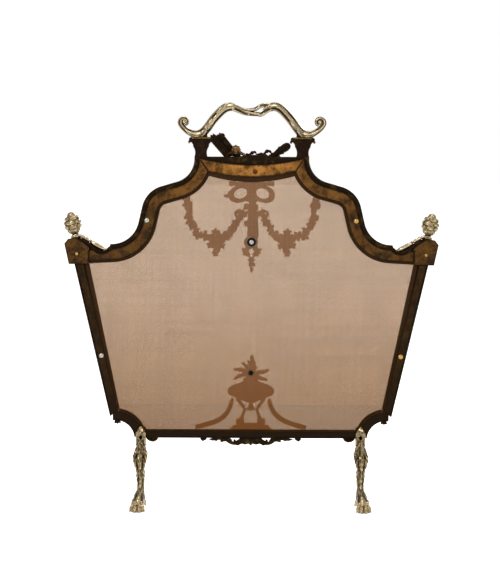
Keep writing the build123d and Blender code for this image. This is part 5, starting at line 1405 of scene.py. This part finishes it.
class FIRESCREEN_OT_screws(Operator):
    """Drive the screws that hold the strips, plates, legs and castings"""
    bl_idname = "firescreen.screws"
    bl_label = "Screws"

    def execute(self, context):
        # The strips' screws don't match: steel on one side, brass on the other, rusty on the crest.
        strips = {"worn_steel": [], "worn_brass_screw": [], "rusty_screw": []}
        for low, high in solids("strip_screws"):
            x = (low + high).x / 2
            kind = "rusty_screw" if abs(x) < 50 else "worn_steel" if x > 0 else "worn_brass_screw"
            strips[kind].append((low, high))
        for index, (kind, boxes) in enumerate(strips.items()):
            screw_heads(f"strip_{kind}", kind, "strip_screws", boxes, 4.0, 2.2, 0.6 + index)
        screw_heads("block_screw_heads", "worn_brass_screw", "block_screws", solids("block_screws"),
                    2.8, 1.8, 0.2)
        screw_heads("leg_screw_heads", "worn_brass_screw", "leg_screws", solids("leg_screws"),
                    2.6, 2.0, 1.1, proud=1.5)
        # Each screw through the gauze has a dished washer, and on that a black ring that is painted
        # shade round the screw.
        rings = (("brown_washers", "browned_washer", 1.0, 0.0,
                  [(0, 0), (0, 0.96), (0.5, 1), (1.0, 0.94), (1.3, 0.5), (1.2, 0)]),
                 ("washer_shade_rings", "blackened_screw", 0.7, 1.0,
                  [(0, 0), (0, 1), (0.8, 0.9), (0.9, 0)]))
        for name, kind, share, proud, profile in rings:
            bm = bmesh.new()
            for low, high in upwards(solids("gauze_washers")):
                middle, radius = (low + high) / 2, (high.x - low.x) / 2 * share
                turned(bm, (middle.x, low.y + proud, middle.z), BACK,
                       [(rise, radius * part) for rise, part in profile], sides=36)
            piece(bm, name, kind, "screw_metal", "gauze_washers", sharp=0.8)
        for box, place, kind in zip(upwards(solids("gauze_screws")), ("brazier", "garland"),
                                    ("blackened_screw", "worn_steel")):
            screw_heads(f"{place}_{kind}", kind, "gauze_screws", [box], 4.2, 2.4, 0.9)
        return {"FINISHED"}


def upwards(boxes):
    """Boxes from the lowest to the highest."""
    return sorted(boxes, key=lambda box: box[1].z)


def solids(node):
    """The boxes of a frame node's separate solids, in millimetres."""
    bm = bmesh.new()
    bm.from_mesh(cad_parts[node].data)
    bmesh.ops.remove_doubles(bm, verts=bm.verts, dist=0.0002 * MM)
    boxes, waiting = [], set(bm.verts)
    while waiting:
        island, edge_of = set(), [waiting.pop()]
        while edge_of:
            vert = edge_of.pop()
            island.add(vert)
            for edge in vert.link_edges:
                other = edge.other_vert(vert)
                if other in waiting:
                    waiting.discard(other)
                    edge_of.append(other)
        places = [vert.co / MM for vert in island]
        boxes.append((Vector([min(place[axis] for place in places) for axis in range(3)]),
                      Vector([max(place[axis] for place in places) for axis in range(3)])))
    bm.free()
    return boxes


# ---- stage --------------------------------------------------------------------------------------


IMAGE_SIDES = (500, 581)
SCREEN_SCALE = 552.5         # how long a metre at the screen is, where the image is 500 wide
CAMERA_DISTANCE = 8.0
CAMERA_TARGET = Vector((0.0023, 0.0, 0.399))
CAMERA_PITCH, CAMERA_ROLL = radians(2.5), radians(0.25)
# The studio's soft lamps: name, place, width in metres and power in watts.
LAMPS = (("key", (1.6, 2.4, 2.4), 1.2, 60), ("fill", (-2.4, 1.8, 1.2), 1.6, 28),
         ("front_key", (-1.4, -2.4, 2.2), 1.4, 45), ("top", (0.0, 0.2, 3.0), 1.4, 30))
LAMP_TARGET = Vector((0, 0, 0.4))
PAPER_GLOW = 0.72            # with the light that the paper throws back, this makes it white
DIM_WORLD = 0.55             # strength at which the world lights the screen


def seen_rays(add):
    """1 for rays of the camera and for those that metal or glass sends on, 0 for the light's."""
    camera, glossy, through = (add("LightPath", output=f"Is {kind} Ray")
                               for kind in ("Camera", "Glossy", "Transmission"))
    return add("Math", [add("Math", [camera, glossy], **LARGER), through], **LARGER)


def turn_to(direction):
    """The turn that points a lamp or a camera in a direction."""
    return direction.to_track_quat("-Z", "Y")


class FIRESCREEN_OT_stage(Operator):
    """Lay the pale floor, hang the lamps and set the camera behind the screen"""
    bl_idname = "firescreen.stage"
    bl_label = "Stage"

    def execute(self, context):
        scene = context.scene
        # The paper shows white to the camera and in metal, and to the light it is a pale sheet.
        material, add = new_material("matt_white_paper")
        matt = add("BsdfPrincipled", {"Base Color": scene.fire_screen_colours.floor,
                                      "Roughness": 0.9})
        strength = add("Math", [seen_rays(add), PAPER_GLOW], **TIMES)
        glow = add("Emission", {"Color": (1, 1, 1), "Strength": strength})
        add("OutputMaterial", {"Surface": add("AddShader", [matt, glow])})
        bm = bmesh.new()
        bmesh.ops.create_grid(bm, x_segments=1, y_segments=1, size=30,
                              matrix=Matrix.Translation((0, 0, -0.5 * MM)))
        mesh = bpy.data.meshes.new("floor")
        bm.to_mesh(mesh)
        bm.free()
        mesh.materials.append(material)
        floor = bpy.data.objects.new("floor", mesh)
        scene.collection.objects.link(floor)

        world = bpy.data.worlds.new("studio")
        scene.world = world
        world.use_nodes = True
        world.node_tree.nodes.clear()
        add = partial(add_node, world.node_tree)
        strength = add("MapRange", [seen_rays(add), 0, 1, DIM_WORLD, 1.0])
        sky = add("Background", {"Color": (1, 1, 1), "Strength": strength})
        add("OutputWorld", {"Surface": sky})

        for name, place, size, power in LAMPS:
            lamp = bpy.data.lights.new(name, "AREA")
            lamp.size = size
            lamp.energy = power
            holder = bpy.data.objects.new(name, lamp)
            holder.location = place
            holder.rotation_euler = turn_to(LAMP_TARGET - Vector(place)).to_euler()
            scene.collection.objects.link(holder)

        away = Vector((0, cos(CAMERA_PITCH), sin(CAMERA_PITCH)))
        camera = bpy.data.cameras.new("camera")
        camera.sensor_width = 36.0
        camera.lens = SCREEN_SCALE * CAMERA_DISTANCE / max(IMAGE_SIDES) * camera.sensor_width
        camera.clip_end = 100.0
        holder = bpy.data.objects.new("camera", camera)
        holder.matrix_world = (Matrix.Translation(CAMERA_TARGET + away * CAMERA_DISTANCE)
                               @ turn_to(-away).to_matrix().to_4x4()
                               @ Matrix.Rotation(CAMERA_ROLL, 4, "Z"))
        scene.collection.objects.link(holder)
        scene.camera = holder
        scene.view_settings.view_transform = "Standard"
        return {"FINISHED"}


# ---- add-on -------------------------------------------------------------------------------------


# In the order of the work: the gauze comes after the castings that darken the wires behind them.
OPERATORS = (FIRESCREEN_OT_frame, FIRESCREEN_OT_pearls, FIRESCREEN_OT_finials,
             FIRESCREEN_OT_block_ornament, FIRESCREEN_OT_handle, FIRESCREEN_OT_trophy,
             FIRESCREEN_OT_pedestal_trim, FIRESCREEN_OT_bow, FIRESCREEN_OT_drop,
             FIRESCREEN_OT_festoons, FIRESCREEN_OT_brazier, FIRESCREEN_OT_gauze,
             FIRESCREEN_OT_apron, FIRESCREEN_OT_legs, FIRESCREEN_OT_screws, FIRESCREEN_OT_stage)


class FIRESCREEN_PT_panel(Panel):
    """Sizes, colours and pieces of the fire screen"""
    bl_idname = "FIRESCREEN_PT_panel"
    bl_label = "Fire screen"
    bl_space_type = "VIEW_3D"
    bl_region_type = "UI"
    bl_category = "Fire screen"

    def draw(self, context):
        layout = self.layout
        for group in (context.scene.fire_screen_sizes, context.scene.fire_screen_colours):
            box = layout.box()
            for name in group.__annotations__:
                box.prop(group, name)
        for operator in OPERATORS:
            layout.operator(operator.bl_idname)


CLASSES = (FireScreenColours, FireScreenSizes, *OPERATORS, FIRESCREEN_PT_panel)


def register():
    """Add the classes and the screen's settings."""
    for item in CLASSES:
        bpy.utils.register_class(item)
    bpy.types.Scene.fire_screen_colours = PointerProperty(type=FireScreenColours)
    bpy.types.Scene.fire_screen_sizes = PointerProperty(type=FireScreenSizes)


def unregister():
    """Take them out again."""
    del bpy.types.Scene.fire_screen_sizes
    del bpy.types.Scene.fire_screen_colours
    for item in reversed(CLASSES):
        bpy.utils.unregister_class(item)


def main():
    """Build every piece."""
    register()
    for operator in OPERATORS:
        group, name = operator.bl_idname.split(".")
        getattr(getattr(bpy.ops, group), name)()


if __name__ == "__main__":
    main()
